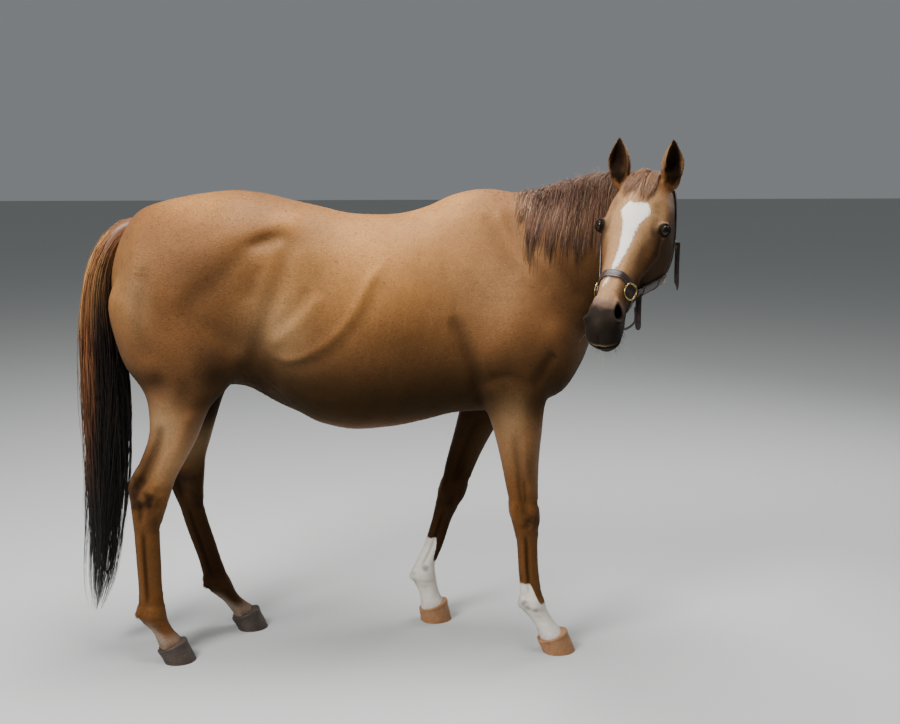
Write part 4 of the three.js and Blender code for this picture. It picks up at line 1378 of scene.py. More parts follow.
def white_field(points: Array) -> Array:
    """How far each place lies inside her white markings, in millimetres, below 0 outside.

    The star and stripe lie on the front of the face between a centre line and a half width. A stocking
    reaches up to a height that drops from the back of the leg to its front.
    """
    h = HEAD.local(points)
    b = BLAZE(h[:, 0])
    stripe = b["half"] - np.abs(h[:, 1] - b["centre"])
    notch = 9 * bell(h[:, 1] - 2, 11) * bell(h[:, 0] - 136, 16)
    stripe = np.minimum(stripe, np.minimum(h[:, 0] - 136 - notch, 446 - h[:, 0]))
    field = np.where((h[:, 2] > -22) & (np.abs(h[:, 1]) < 120), stripe, -60.0)
    for name, back, front, soft in (("right_fore", 258, 184, 26), ("left_fore", 330, 238, 24)):
        leg = LEGS[name]
        x, y = leg.line(points[:, 2])["x"], leg.centre(points[:, 2])
        near = (np.abs(points[:, 1] - y) < 75) & (np.abs(points[:, 0] - x) < 100) & (points[:, 2] < 420)
        edge = back + (front - back) * ease(points[:, 0] - x, -6, soft)
        field = np.where(near, np.maximum(field, edge - points[:, 2]), field)
    return np.clip(field, -60, 60)


def mottle(points: Array, size: float) -> Array:
    """Soft irregular blotches about `size` across, 0 to 1: waves in three slanted directions multiplied."""
    ways = unit(np.array([[1.0, 0.4, 0.3], [-0.4, 0.8, 0.9], [0.3, -0.7, 1.0]]))
    turn = points @ ways.T / size * 2.0
    bent = turn + 0.9 * np.sin(np.roll(turn, 1, axis=1) * 0.63 + 1.0)
    return np.clip(0.5 + 0.5 * np.sin(bent).prod(1) * 2.2, 0, 1)


def tint_of(points: Array, normal: Array) -> Array:
    """Colour of the coat at some places, by where they lie on her body, with painted shade and painted
    highlights laid in.

    Args:
        points: Places in her frame.
        normal: Outward normals there.

    Returns:
        Linear colours.
    """
    x, y, z = points.T
    tone = np.tile(rgb(Shade.CHESTNUT.value), (len(points), 1))

    def wash(share: Array, shade: Shade, strength: float = 1.0) -> None:
        """Blend a shade in."""
        w = (np.clip(share, 0, 1) * strength)[:, None]
        tone[:] = tone * (1 - w) + rgb(shade.value) * w

    h = HEAD.local(points)
    head = ease(-past_throat(points), -20, 30)
    body = ease(z, 760, 930) * (1 - head)
    # Painted highlights: gold over the back, the withers, the top of the rump, the flank before the thigh and
    # the buttock, where light from above falls.
    wash(body * bell(x + 300, 330) * bell(z - 1430, 230), Shade.GOLD, 0.75)
    wash(body * bell(x + 60, 170) * bell(z - 1600, 90), Shade.GOLD, 0.75)
    wash(body * bell(x + 560, 60) * bell(z - 1250, 170), Shade.GOLD, 0.45)
    wash(body * bell(x + 1130, 70) * bell(z - 1360, 190), Shade.GOLD, 0.45)
    wash(body * bell(x + 860, 150) * bell(z - 1610, 60), Shade.GOLD, 0.6)
    wash(body * bell(x - 120, 170) * bell(z - 1330, 150), Shade.SAND, 0.25)
    wash(body * bell(x + 820, 160) * bell(z - 1380, 170), Shade.LIVER, 0.46)
    # Painted shade: the lower barrel darker towards the bottom.
    wash(body * ease(-z, -1260, -900) * ease(x, -620, -540), Shade.BELLY, 0.85)
    # Painted highlights: sand on the lit flank and on the buttock.
    wash(body * bell(x + 590, 90) * bell(z - 1190, 120), Shade.SAND, 0.6)
    wash(body * bell(x + 1046, 50) * bell(z - 1290, 110), Shade.SAND, 0.45)
    # Painted shade on every surface of the body that faces down.
    wash(body * ease(-normal[:, 2], -0.05, 0.7), Shade.BELLY, 0.94)
    # Painted shade in the fold of the flank in front of the stifle.
    wash(body * bell(x + 640, 60) * ease(-z, -1200, -1040), Shade.LIVER, 0.7)
    # Painted shade: the sides darker than the tops, which stay as if lit.
    wash(body * ease(-normal[:, 2], -0.6, 0.15), Shade.LIVER, 0.16)
    # Painted shadow low on the front of the thigh.
    wash(body * bell(x + 800, 60) * bell(z - 1040, 80), Shade.DARK, 0.75)
    wash(body * bell(x + 184, 110) * bell(z - 1150, 70), Shade.LIVER, 0.25)
    # Painted shade in the crease behind the elbow.
    wash(body * bell(x - 70, 55) * bell(z - 950, 110), Shade.LIVER, 0.45)
    wash(ease(x, 250, 420) * (1 - head) * ease(z, 1000, 1300), Shade.LIVER, 0.5)
    wash(body * bell(x - 150, 90) * bell(z - 1480, 70), Shade.RED, 0.3)
    low = ease(-z, -860, -640)
    wash(low, Shade.RED, 0.85)
    wash(low * bell(z - 760, 110), Shade.SAND, 0.22)
    # Painted shade on the inner sides of the legs.
    wash(ease(-z, -1080, -880) * ease(-normal[:, 1] * np.sign(y), -0.1, 0.5), Shade.BLACK, 0.82)
    wash(low * ease(-z, -620, -420), Shade.LIVER, 0.25)
    # Painted light and shade: a lit patch on the near gaskin, shade on the far gaskin, a lit patch on the
    # near forearm and shade on the front of its lower part.
    wash(bell(x + 975, 60) * bell(z - 855, 90) * ease(-y, 0, 60), Shade.SAND, 0.6)
    wash(bell(x + 850, 60) * bell(z - 830, 120) * ease(y, 0, 60), Shade.BLACK, 0.8)
    wash(bell(x - 195, 50) * bell(z - 835, 90) * ease(-y, 0, 60), Shade.SAND, 0.4)
    wash(bell(x - 262, 26) * bell(z - 690, 90) * ease(-y, 0, 60), Shade.DARK, 0.6)
    for name, leg in LEGS.items():
        cx, cy = leg.line(z)["x"], leg.centre(z)
        near = (np.abs(y - cy) < 90) * (np.abs(x - cx) < 140) * low
        ragged = 0.55 + 0.75 * mottle(points, 26)
        if name.endswith("fore"):
            wash(near * bell(z - 490, 40) * ease(x - cx, -30, 14) * ragged, Shade.DARK, 0.75)
            wash(near * bell(z - 545, 34) * bell(x - cx + 6, 20) * ragged, Shade.LIVER, 0.6)
            # Painted shade in the groove between the cannon bone and the tendons.
            wash(near * bell(z - 320, 90) * bell(x - cx + 8, 6), Shade.LIVER, 0.6)
        else:
            wash(near * bell(z - 760, 90) * ease(x - cx, -34, 4), Shade.SAND, 0.4)
            wash(near * bell(z - 735, 80) * ease(cx - x, 18, 52), Shade.LIVER, 0.75)
            wash(near * bell(z - 655, 34) * ease(cx - x, 8, 50) * ragged, Shade.BLACK, 0.8)
            wash(near * bell(z - 592, 46) * ease(cx - x, -44, 6) * ragged, Shade.DARK, 0.85)
            wash(near * bell(z - 640, 16) * bell(x - cx, 16), Shade.RED, 0.5)
            wash(near * bell(z - 520, 34) * bell(x - cx - 26, 22) * ragged, Shade.DARK, 0.5)
            # Painted shade in the groove between the cannon bone and the tendons.
            wash(near * bell(z - 340, 110) * bell(x - cx + 10, 6), Shade.DARK, 0.5)
            wash(near * ease(-z, -165, -120) * ease(cx - x, -16, 22), Shade.PALE, 0.75)
            wash(near * bell(z - 84, 16), Shade.PALE, 0.5)
    face = head * ease(h[:, 0], 40, 140)
    wash(head, Shade.RED, 0.2)
    wash(face * ease(h[:, 2], -60, 0), Shade.SAND, 0.55)
    # Painted shade on the sides of the cheeks, chosen by the way they face.
    cheek = np.abs(normal @ HEAD.axes()[1])
    wash(head * ease(cheek, 0.35, 0.8) * ease(h[:, 0], 20, 110) * ease(-h[:, 2], 30, 80), Shade.LIVER, 0.92)
    wash(face * ease(-h[:, 2], 90, 180), Shade.LIVER, 0.7)
    wash(
        face * ease(h[:, 1], 26, 70) * ease(h[:, 0], 170, 260) * (0.4 + mottle(points, 34)), Shade.LIVER, 0.16
    )
    for side in (-1, 1):
        a, b, _, reach, _ = eye_place(h, side)
        around = head * (1 - ease(reach, 40, 58))
        far = np.hypot(a, b - 4)
        wash(around * (1 - ease(far, 20, 38)), Shade.DARK, 0.85)
        wash(around * (1 - ease(far, 18, 30)), Shade.BLACK, 0.96)
        wash(around * bell(a - 30, 9) * bell(b - 8, 10), Shade.BLACK, 0.6)
        # Painted highlight on the brow above each eye.
        wash(around * bell(b - 38, 7) * bell(a + 6, 26), Shade.SAND, 0.4)
    down = h[:, 0] - 0.16 * h[:, 2] + 9 * (mottle(points, 13) - 0.5)
    wash(head * ease(down, 476, 508), Shade.PINK, 0.75)
    wash(head * ease(down + 0.25 * np.abs(h[:, 1]), 497, 540), Shade.MUZZLE, 0.97)
    wash(head * bell(down - 575, 16) * bell(h[:, 1] + 6, 12), Shade.PINK, 0.1)
    wash(head * ease(down, 440, 490) * ease(-h[:, 2], 55, 85), Shade.MUZZLE, 0.97)
    gap = h[:, 2] - MOUTH(h[:, 0])["out"]
    wash(head * bell(gap - 7, 4) * bell(h[:, 1], 34) * ease(h[:, 0], 560, 590), Shade.LIP, 0.85)
    for side in (-1, 1):
        oval, _ = nostril_place(h, side)
        wash(head * (1 - ease(oval, 0.86, 1.04)), Shade.BLACK, 0.97)
        foot, up, front, aside = ear_frame(side)
        local = points - foot
        share = local @ up / 142
        here = (np.linalg.norm(local - np.outer(local @ up, up), axis=1) < 62) & (share > -0.08)
        middling = np.abs(local @ aside + side * 7 * ease(share, 0.55, 1)) / EAR(share)["half"]
        cup = here * ease(normal @ front, -0.15, 0.3) * ease(share - 0.2 * middling, -0.06, 0.1)
        # Painted shade in the cup of each ear: its shallow hollow is painted near black.
        wash(cup, Shade.LIVER, 0.5)
        dark = 1 - 0.35 * bell(local @ aside + side * 15, 8) * ease(share, 0.1, 0.4)
        wash(cup * (1 - ease(middling, 0.66, 0.9)) * dark, Shade.BLACK, 0.93)
        wash(here * bell(middling - 0.95, 0.12) * ease(share, 0.15, 0.4), Shade.SAND, 0.3)
        wash(here * ease(share, 0.72, 1.0), Shade.LIVER, 0.4)
    # Painted shade and highlight from the relief: hollows darker and swellings lighter, twice as much on the
    # legs.
    lift = modelled(points, normal).lift
    return tone * (1 + np.clip(0.04 * lift * (1 + low), -0.42, 0.28))[:, None]


def grey_spots(points: Array) -> Array:
    """Share of grey in the white of the right fore fetlock and the left one's back."""
    out = np.zeros(len(points))
    spots = (
        ((248, -190, 192), 17),
        ((290, -190, 168), 14),
        ((262, -196, 172), 11),
        ((-84, 130, 214), 16),
    )
    for at, radius in spots:
        out += bell(np.linalg.norm(points - np.array(at), axis=1), radius)
    return np.clip(out, 0, 1)


def sleek_of(points: Array) -> Array:
    """How bare and smooth the skin is, from 0 on the body to 1 on muzzle, lids and nostrils."""
    h = HEAD.local(points)
    head = on_the_head(points)
    bare = 0.85 * ease(h[:, 0] - 0.16 * h[:, 2], 480, 530)
    for side in (-1, 1):
        _, _, almond, reach, _ = eye_place(h, side)
        oval, _ = nostril_place(h, side)
        bare = np.maximum(bare, (reach < 60) * (1 - ease(almond, 1.3, 1.8)))
        bare = np.maximum(bare, 1 - ease(oval, 1.0, 1.3))
    return bare * head


def unwrap(points: Array) -> Array:
    """Places on a flat map of the skin: angle round each part's axis against distance along it.

    The body, the head, the neck, the ears and each leg have a rectangle of their own in the unit square.
    """
    x, y, z = points.T
    h = HEAD.local(points)
    head = past_throat(points) < 0
    ear = head & (h[:, 2] > 0) & (np.abs(h[:, 1]) > 40) & (h[:, 0] < 50)
    neck = ~head & ((points - np.array([330, 0, 1330])) @ np.array([-0.9, 0, -0.43]) < 0)
    uv = np.stack([np.arctan2(z - 1180, y) / (2 * np.pi) + 0.5, (x + 1200) / 1750], 1) * (0.5, 0.58)
    axis = unit(np.array([0.42, -0.8, 0.42]))
    q = points - np.array([330, -20, 1330])
    turn = np.arctan2(q @ UP - (q @ axis) * axis[2], q @ np.cross(axis, UP)) / (2 * np.pi) + 0.5
    uv = np.where(neck[:, None], np.stack([turn * 0.25 + 0.5, (q @ axis) / 900 * 0.3 + 0.1], 1), uv)
    turn = np.arctan2(h[:, 2] + 90, h[:, 1]) / (2 * np.pi) + 0.5
    uv = np.where(head[:, None], np.stack([turn * 0.5 + 0.5, (h[:, 0] + 60) / 700 * 0.28 + 0.5], 1), uv)
    for k, side in enumerate((-1, 1)):
        foot, up, front, aside = ear_frame(side)
        q = points - foot
        turn = np.arctan2(q @ front, q @ aside) / (2 * np.pi) + 0.5
        here = ear & (side * h[:, 1] > 0)
        uv = np.where(
            here[:, None], np.stack([turn * 0.24 + 0.76, q @ up / 160 * 0.18 + 0.02 + 0.2 * k], 1), uv
        )
    for k, leg in enumerate(LEGS.values()):
        centre, forward = leg.centre(z), leg.line(z)["x"]
        here = (z < 880) & (np.sign(y) == leg.side) & (np.abs(x - forward) < 170)
        turn = np.arctan2(y - centre, x - forward) / (2 * np.pi) + 0.5
        uv = np.where(here[:, None], np.stack([(turn + k) * 0.25, z / 900 * 0.18 + 0.81], 1), uv)
    return np.clip(uv, 0.002, 0.998)


def lie_of(points: Array, normal: Array) -> Array:
    """Direction in which the hair lies, along the skin.

    It runs back and down over the body, down the legs, down and back over the neck, down the face, and up
    the ears.
    """
    h = HEAD.local(points)
    along, _, _ = HEAD.axes()
    head = on_the_head(points)[:, None]
    leg = ease(-points[:, 2], -980, -760)[:, None]
    neck = ease(points[:, 0] - 0.3 * points[:, 1], 230, 420)[:, None] * (1 - head) * (1 - leg)
    way = np.array([-1.0, 0, -0.42]) * (1 - leg) + np.array([-0.08, 0, -1.0]) * leg
    way = way * (1 - neck) + np.array([-0.45, 0.2, -0.85]) * neck
    way = way * (1 - head) + along * head
    ear = (h[:, 2] > 0) & (h[:, 0] < 40) & (np.abs(h[:, 1]) > 44)
    way = np.where(ear[:, None], UP, way)
    return unit(way - normal * dot(way, normal)[:, None])


# ------------------------------------------------------------------ materials


def add(
    tree: bpy.types.NodeTree, kind: str, inputs: dict | None = None, **settings: object
) -> bpy.types.Node:
    """Add a node, set it and link it.

    Args:
        tree: The node tree.
        kind: The node's type without "ShaderNode".
        inputs: Values, or sockets to link, by input name or number.
        settings: The node's own properties.

    Returns:
        The node.
    """
    made = tree.nodes.new("ShaderNode" + kind)
    for name, value in settings.items():
        setattr(made, name, value)
    for name, value in (inputs or {}).items():
        socket = made.inputs[name]
        if isinstance(value, bpy.types.NodeSocket):
            tree.links.new(value, socket)
        else:
            socket.default_value = value
    return made


def begin(name: str) -> tuple[bpy.types.Material, bpy.types.NodeTree, bpy.types.Node]:
    """A material with nothing but its Principled shader and output."""
    made = bpy.data.materials.new(name)
    made.use_nodes = True
    return made, made.node_tree, made.node_tree.nodes["Principled BSDF"]


def ramp(
    tree: bpy.types.NodeTree, value: bpy.types.NodeSocket, low: float, high: float
) -> bpy.types.NodeSocket:
    """Map a value from `low`..`high` to 0..1, clamped."""
    return add(tree, "MapRange", {"Value": value, "From Min": low, "From Max": high}).outputs["Result"]


def facing_x(direction: Array) -> tuple[float, float, float]:
    """Euler turn that brings the X axis along a direction."""
    return tuple(Vector(direction.tolist()).to_track_quat("X", "Z").to_euler())


@dataclass(frozen=True)
class CoatFinish:
    """Short summer coat of a chestnut horse: sleek hair about 10 mm long that lies flat over the skin.

    The eye sees satin highlights over a fine grain along the hair, drawn 2 mm across and 9 mm long, which
    is coarser than single hairs so that it shows, and slow changes of tone the width of a hand.
    """

    roughness: float = 0.46
    bare: float = 0.95
    specular: float = 0.27
    grain: float = 0.0021
    reach: float = 0.009
    bump: float = 0.0016

    def build(self) -> bpy.types.Material:
        """Make the material, which reads `tint`, `white`, `grey`, `sleek` and `comb` from the mesh."""
        made, tree, shader = begin("chestnut_coat")
        place = add(tree, "TexCoord").outputs["Object"]
        comb = add(tree, "Attribute", attribute_name="comb").outputs["Color"]
        share = add(tree, "SeparateColor", {"Color": comb}).outputs
        along, _, _ = HEAD.axes()
        ways = (np.array([-1.0, 0, -0.42]), np.array([-0.08, 0, -1.0]), along, np.array([-0.45, 0.2, -0.85]))
        total = None
        rest = add(tree, "Math", {0: share["Red"], 1: share["Green"]}, operation="ADD").outputs[0]
        rest = add(tree, "Math", {0: rest, 1: share["Blue"]}, operation="ADD").outputs[0]
        rest = add(tree, "Math", {0: 1.0, 1: rest}, operation="SUBTRACT", use_clamp=True).outputs[0]
        for way, weight in zip(ways, (share["Red"], share["Green"], share["Blue"], rest)):
            size = (self.reach, self.grain, self.grain)
            turned_place = add(
                tree,
                "Mapping",
                {"Vector": place, "Rotation": facing_x(way), "Scale": size},
                vector_type="TEXTURE",
            ).outputs[0]
            noise = add(
                tree, "TexNoise", {"Vector": turned_place, "Scale": 1.0, "Detail": 2.0, "Roughness": 0.6}
            )
            part = add(tree, "Math", {0: noise.outputs["Fac"], 1: weight}, operation="MULTIPLY").outputs[0]
            if total is not None:
                part = add(tree, "Math", {0: total, 1: part}, operation="ADD").outputs[0]
            total = part
        slow = add(tree, "TexNoise", {"Vector": place, "Scale": 14.0, "Detail": 3.0}).outputs["Fac"]
        tint = add(tree, "Attribute", attribute_name="tint").outputs["Color"]
        sleek = add(tree, "Attribute", attribute_name="sleek").outputs["Fac"]
        hairy = add(tree, "Math", {0: sleek, 1: -0.9, 2: 1.0}, operation="MULTIPLY_ADD").outputs[0]
        even = add(tree, "Math", {0: total, 1: 0.5}, operation="SUBTRACT").outputs[0]
        even = add(tree, "Math", {0: even, 1: hairy}, operation="MULTIPLY").outputs[0]
        value = add(
            tree,
            "MapRange",
            {"Value": even, "From Min": -0.2, "From Max": 0.2, "To Min": 0.74, "To Max": 1.28},
        )
        tone = add(
            tree,
            "MapRange",
            {"Value": slow, "From Min": 0.3, "From Max": 0.7, "To Min": 0.92, "To Max": 1.08},
        )
        both = add(tree, "Math", {0: value.outputs[0], 1: tone.outputs[0]}, operation="MULTIPLY").outputs[0]
        hair = add(tree, "VectorMath", {0: tint, "Scale": both}, operation="SCALE").outputs[0]
        field = add(tree, "Attribute", attribute_name="white").outputs["Fac"]
        ragged = add(tree, "Math", {0: total, 1: 22.0, 2: -11.0}, operation="MULTIPLY_ADD").outputs[0]
        inside = ramp(tree, add(tree, "Math", {0: field, 1: ragged}, operation="ADD").outputs[0], -2.5, 2.5)
        spots = add(tree, "Attribute", attribute_name="grey").outputs["Fac"]
        grey = ramp(tree, add(tree, "Math", {0: spots, 1: total}, operation="MULTIPLY").outputs[0], 0.15, 0.5)
        pale = add(
            tree,
            "Mix",
            {"Factor": grey, 6: linear(Shade.WHITE.value), 7: linear(Shade.GREY.value)},
            data_type="RGBA",
        ).outputs[2]
        colour = add(tree, "Mix", {"Factor": inside, 6: hair, 7: pale}, data_type="RGBA").outputs[2]
        height = add(tree, "Math", {0: slow, 1: 1.6, 2: even}, operation="MULTIPLY_ADD").outputs[0]
        bump = add(tree, "Bump", {"Height": height, "Distance": self.bump, "Strength": 0.85})
        tree.links.new(colour, shader.inputs["Base Color"])
        tree.links.new(bump.outputs[0], shader.inputs["Normal"])
        bright = add(tree, "RGBToBW", {"Color": tint}).outputs[0]
        dull = add(
            tree,
            "MapRange",
            {"Value": bright, "From Min": 0.008, "From Max": 0.07, "To Min": 1.0, "To Max": 0.0},
        )
        plain = add(tree, "Math", {0: sleek, 1: dull.outputs[0]}, operation="MAXIMUM").outputs[0]
        ends = {"Value": plain, "To Min": self.roughness, "To Max": self.bare}
        rough = add(tree, "MapRange", ends).outputs[0]
        tree.links.new(rough, shader.inputs["Roughness"])
        shader.inputs["Specular IOR Level"].default_value = self.specular
        shader.inputs["Specular Tint"].default_value = linear("ecc79c")
        shader.inputs["Sheen Weight"].default_value = 0.015
        shader.inputs["Sheen Roughness"].default_value = 0.4
        return made


@dataclass(frozen=True)
class HairFinish:
    """Long hair of mane and tail: smooth, slightly glossy strands, coloured strand by strand by the mesh."""

    name: str = "long_hair"
    roughness: float = 0.42
    specular: float = 0.4

    def build(self) -> bpy.types.Material:
        """Make the material, which reads `tint` from the mesh."""
        made, tree, shader = begin(self.name)
        tint = add(tree, "Attribute", attribute_name="tint").outputs["Color"]
        place = add(tree, "TexCoord").outputs["Object"]
        noise = add(tree, "TexNoise", {"Vector": place, "Scale": 260.0, "Detail": 2.0}).outputs["Fac"]
        value = add(
            tree, "MapRange", {"Value": noise, "From Min": 0.3, "From Max": 0.7, "To Min": 0.8, "To Max": 1.2}
        )
        hair = add(tree, "VectorMath", {0: tint, "Scale": value.outputs[0]}, operation="SCALE").outputs[0]
        bump = add(tree, "Bump", {"Height": noise, "Distance": 0.0004, "Strength": 0.5})
        tree.links.new(hair, shader.inputs["Base Color"])
        tree.links.new(bump.outputs[0], shader.inputs["Normal"])
        shader.inputs["Roughness"].default_value = self.roughness
        shader.inputs["Specular IOR Level"].default_value = self.specular
        return made


@dataclass(frozen=True)
class HornFinish:
    """Hoof horn: growth rings about 4 mm apart, fine tubules down the wall."""

    name: str
    light: str
    dark: str

    def build(self) -> bpy.types.Material:
        """Make the material, whose rings follow height and whose streaks run down the wall."""
        made, tree, shader = begin(self.name)
        place = add(tree, "TexCoord").outputs["Object"]
        streaks = add(tree, "Mapping", {"Vector": place, "Scale": (260, 260, 14)}).outputs[0]
        tubules = add(tree, "TexNoise", {"Vector": streaks, "Scale": 1.0, "Detail": 3.0}).outputs["Fac"]
        rings = add(tree, "Mapping", {"Vector": place, "Scale": (12, 12, 230)}).outputs[0]
        growth = add(tree, "TexNoise", {"Vector": rings, "Scale": 1.0, "Detail": 2.0}).outputs["Fac"]
        blotch = add(tree, "TexNoise", {"Vector": place, "Scale": 38.0, "Detail": 4.0}).outputs["Fac"]
        mixed = add(tree, "Math", {0: tubules, 1: blotch}, operation="MULTIPLY").outputs[0]
        colour = add(
            tree,
            "Mix",
            {"Factor": ramp(tree, mixed, 0.0, 0.5), 6: linear(self.dark), 7: linear(self.light)},
            data_type="RGBA",
        ).outputs[2]
        height = add(tree, "Math", {0: growth, 1: 1.8, 2: tubules}, operation="MULTIPLY_ADD").outputs[0]
        bump = add(tree, "Bump", {"Height": height, "Distance": 0.0012, "Strength": 0.6})
        tree.links.new(colour, shader.inputs["Base Color"])
        tree.links.new(bump.outputs[0], shader.inputs["Normal"])
        shader.inputs["Roughness"].default_value = 0.55
        return made


@dataclass(frozen=True)
class EyeFinish:
    """Wet cornea over a dark brown iris: a hard, clear highlight over colour that the mesh gives."""

    def build(self) -> bpy.types.Material:
        """Make the material, which reads `tint` from the mesh."""
        made, tree, shader = begin("eye_wet")
        tint = add(tree, "Attribute", attribute_name="tint").outputs["Color"]
        place = add(tree, "TexCoord").outputs["Object"]
        noise = add(tree, "TexNoise", {"Vector": place, "Scale": 700.0, "Detail": 2.0}).outputs["Fac"]
        value = add(tree, "MapRange", {"Value": noise, "To Min": 0.7, "To Max": 1.3})
        colour = add(tree, "VectorMath", {0: tint, "Scale": value.outputs[0]}, operation="SCALE").outputs[0]
        tree.links.new(colour, shader.inputs["Base Color"])
        shader.inputs["Roughness"].default_value = 0.06
        shader.inputs["IOR"].default_value = 1.376
        shader.inputs["Coat Weight"].default_value = 0.1
        shader.inputs["Coat Roughness"].default_value = 0.03
        return made


@dataclass(frozen=True)
class LeatherFinish:
    """Bridle leather, dyed dark brown and waxed: pores about 1 mm apart, with paler wear in patches."""

    name: str = "bridle_leather"
    colour: str = "2c211f"
    worn: str = "5b453c"

    def build(self) -> bpy.types.Material:
        """Make the material: cells for the pores and slow noise for the wear."""
        made, tree, shader = begin(self.name)
        place = add(tree, "TexCoord").outputs["Object"]
        pores = add(tree, "TexVoronoi", {"Vector": place, "Scale": 900.0}).outputs["Distance"]
        slow = add(tree, "TexNoise", {"Vector": place, "Scale": 60.0, "Detail": 4.0}).outputs["Fac"]
        colour = add(
            tree,
            "Mix",
            {"Factor": ramp(tree, slow, 0.45, 0.8), 6: linear(self.colour), 7: linear(self.worn)},
            data_type="RGBA",
        ).outputs[2]
        rough = add(tree, "MapRange", {"Value": slow, "To Min": 0.34, "To Max": 0.58}).outputs[0]
        bump = add(tree, "Bump", {"Height": pores, "Distance": 0.0004, "Strength": 0.4})
        tree.links.new(colour, shader.inputs["Base Color"])
        tree.links.new(rough, shader.inputs["Roughness"])
        tree.links.new(bump.outputs[0], shader.inputs["Normal"])
        return made


@dataclass(frozen=True)
class BrassFinish:
    """Cast yellow brass, polished and handled: dull in patches."""

    def build(self) -> bpy.types.Material:
        """Make the material: noise dulls the metal in patches."""
        made, tree, shader = begin("cast_brass")
        place = add(tree, "TexCoord").outputs["Object"]
        slow = add(tree, "TexNoise", {"Vector": place, "Scale": 160.0, "Detail": 4.0}).outputs["Fac"]
        colour = add(
            tree,
            "Mix",
            {"Factor": ramp(tree, slow, 0.35, 0.7), 6: linear("8d7a46"), 7: linear("d6bd78")},
            data_type="RGBA",
        ).outputs[2]
        rough = add(tree, "MapRange", {"Value": slow, "To Min": 0.42, "To Max": 0.2}).outputs[0]
        tree.links.new(colour, shader.inputs["Base Color"])
        tree.links.new(rough, shader.inputs["Roughness"])
        shader.inputs["Metallic"].default_value = 1.0
        return made


@dataclass(frozen=True)
class ThreadFinish:
    """Waxed linen thread, pale against the leather."""

    def build(self) -> bpy.types.Material:
        """Make the material: fine twist as noise."""
        made, tree, shader = begin("waxed_thread")
        place = add(tree, "TexCoord").outputs["Object"]
        twist = add(tree, "TexNoise", {"Vector": place, "Scale": 1500.0}).outputs["Fac"]
        colour = add(
            tree, "Mix", {"Factor": twist, 6: linear("3f342c"), 7: linear("64564a")}, data_type="RGBA"
        ).outputs[2]
        tree.links.new(colour, shader.inputs["Base Color"])
        shader.inputs["Roughness"].default_value = 0.7
        return made


def paint(obj: bpy.types.Object, **columns: Array) -> None:
    """Write point attributes to a mesh: colours for three columns, floats for one."""
    for name, values in columns.items():
        colour = values.ndim == 2
        made = obj.data.attributes.new(name, "FLOAT_COLOR" if colour else "FLOAT", "POINT")
        if colour:
            values = np.hstack([values, np.ones((len(values), 1))])
        made.data.foreach_set(
            "color" if colour else "value", np.ascontiguousarray(values, np.float32).ravel()
        )


def comb_of(points: Array) -> Array:
    """Weights of the hair's directions over body, legs and head; the neck has the rest."""
    head = on_the_head(points)
    leg = ease(-points[:, 2], -980, -760) * (1 - head)
    neck = ease(points[:, 0] - 0.3 * points[:, 1], 230, 420) * (1 - head) * (1 - leg)
    return np.stack([(1 - head) * (1 - leg) * (1 - neck), leg, head], 1)


def dress_coat(obj: bpy.types.Object, points: Array, normal: Array, finish: bpy.types.Material) -> None:
    """Give a piece of skin or coat its colours, markings and material."""
    paint(
        obj,
        tint=tint_of(points, normal),
        white=white_field(points),
        grey=grey_spots(points),
        sleek=sleek_of(points),
        comb=comb_of(points),
    )
    obj.data.materials.append(finish)


# ------------------------------------------------------------------ studio


@dataclass(frozen=True)
class Studio:
    """Plain pale floor, soft light and the camera."""

    lens: float = 48.0
    place: tuple[float, float, float] = (0.0099, -3.9415, 1.767)
    azimuth: float = -4.0
    drop: float = 10.0

    def build(self) -> None:
        """Set up the floor, the world, three soft lights and the camera."""
        far = 40.0
        corners = np.array([[-far, -far, 0], [far, -far, 0], [far, far, 0], [-far, far, 0]])
        floor = make("floor", corners, np.array([[0, 1, 2, 3]]))
        made, _, shader = begin("floor_pale")
        shader.inputs["Base Color"].default_value = linear("bcbebb")
        shader.inputs["Roughness"].default_value = 0.9
        floor.data.materials.append(made)
        world = bpy.data.worlds.new("studio")
        bpy.context.scene.world = world
        world.use_nodes = True
        back = world.node_tree.nodes["Background"]
        back.inputs["Color"].default_value = linear("e9eef2")
        back.inputs["Strength"].default_value = 0.24
        self._lamp("key", (-2.8, -2.6, 4.6), (0, -0.1, 1.2), 1.7, 350)
        self._lamp("top", (0.2, 0.2, 5.2), (0, 0, 1.2), 2.4, 360)
        self._lamp("rim", (3.4, 2.6, 3.2), (0.2, 0, 1.1), 2.2, 60)
        data = bpy.data.cameras.new("camera")
        data.lens, data.sensor_width = self.lens, 36.0
        camera = bpy.data.objects.new("camera", data)
        bpy.context.scene.collection.objects.link(camera)
        camera.location = self.place
        camera.rotation_euler = (np.radians(90 - self.drop), 0, np.radians(self.azimuth))
        bpy.context.scene.camera = camera

    @staticmethod
    def _lamp(name: str, at: tuple, target: tuple, size: float, power: float) -> None:
        """Add a square area light that looks at a target."""
        data = bpy.data.lights.new(name, "AREA")
        data.size, data.energy = size, power
        lamp = bpy.data.objects.new(name, data)
        lamp.location = at
        lamp.rotation_euler = (Vector(target) - Vector(at)).to_track_quat("-Z", "Y").to_euler()
        bpy.context.scene.collection.objects.link(lamp)


# ------------------------------------------------------------------ long hair


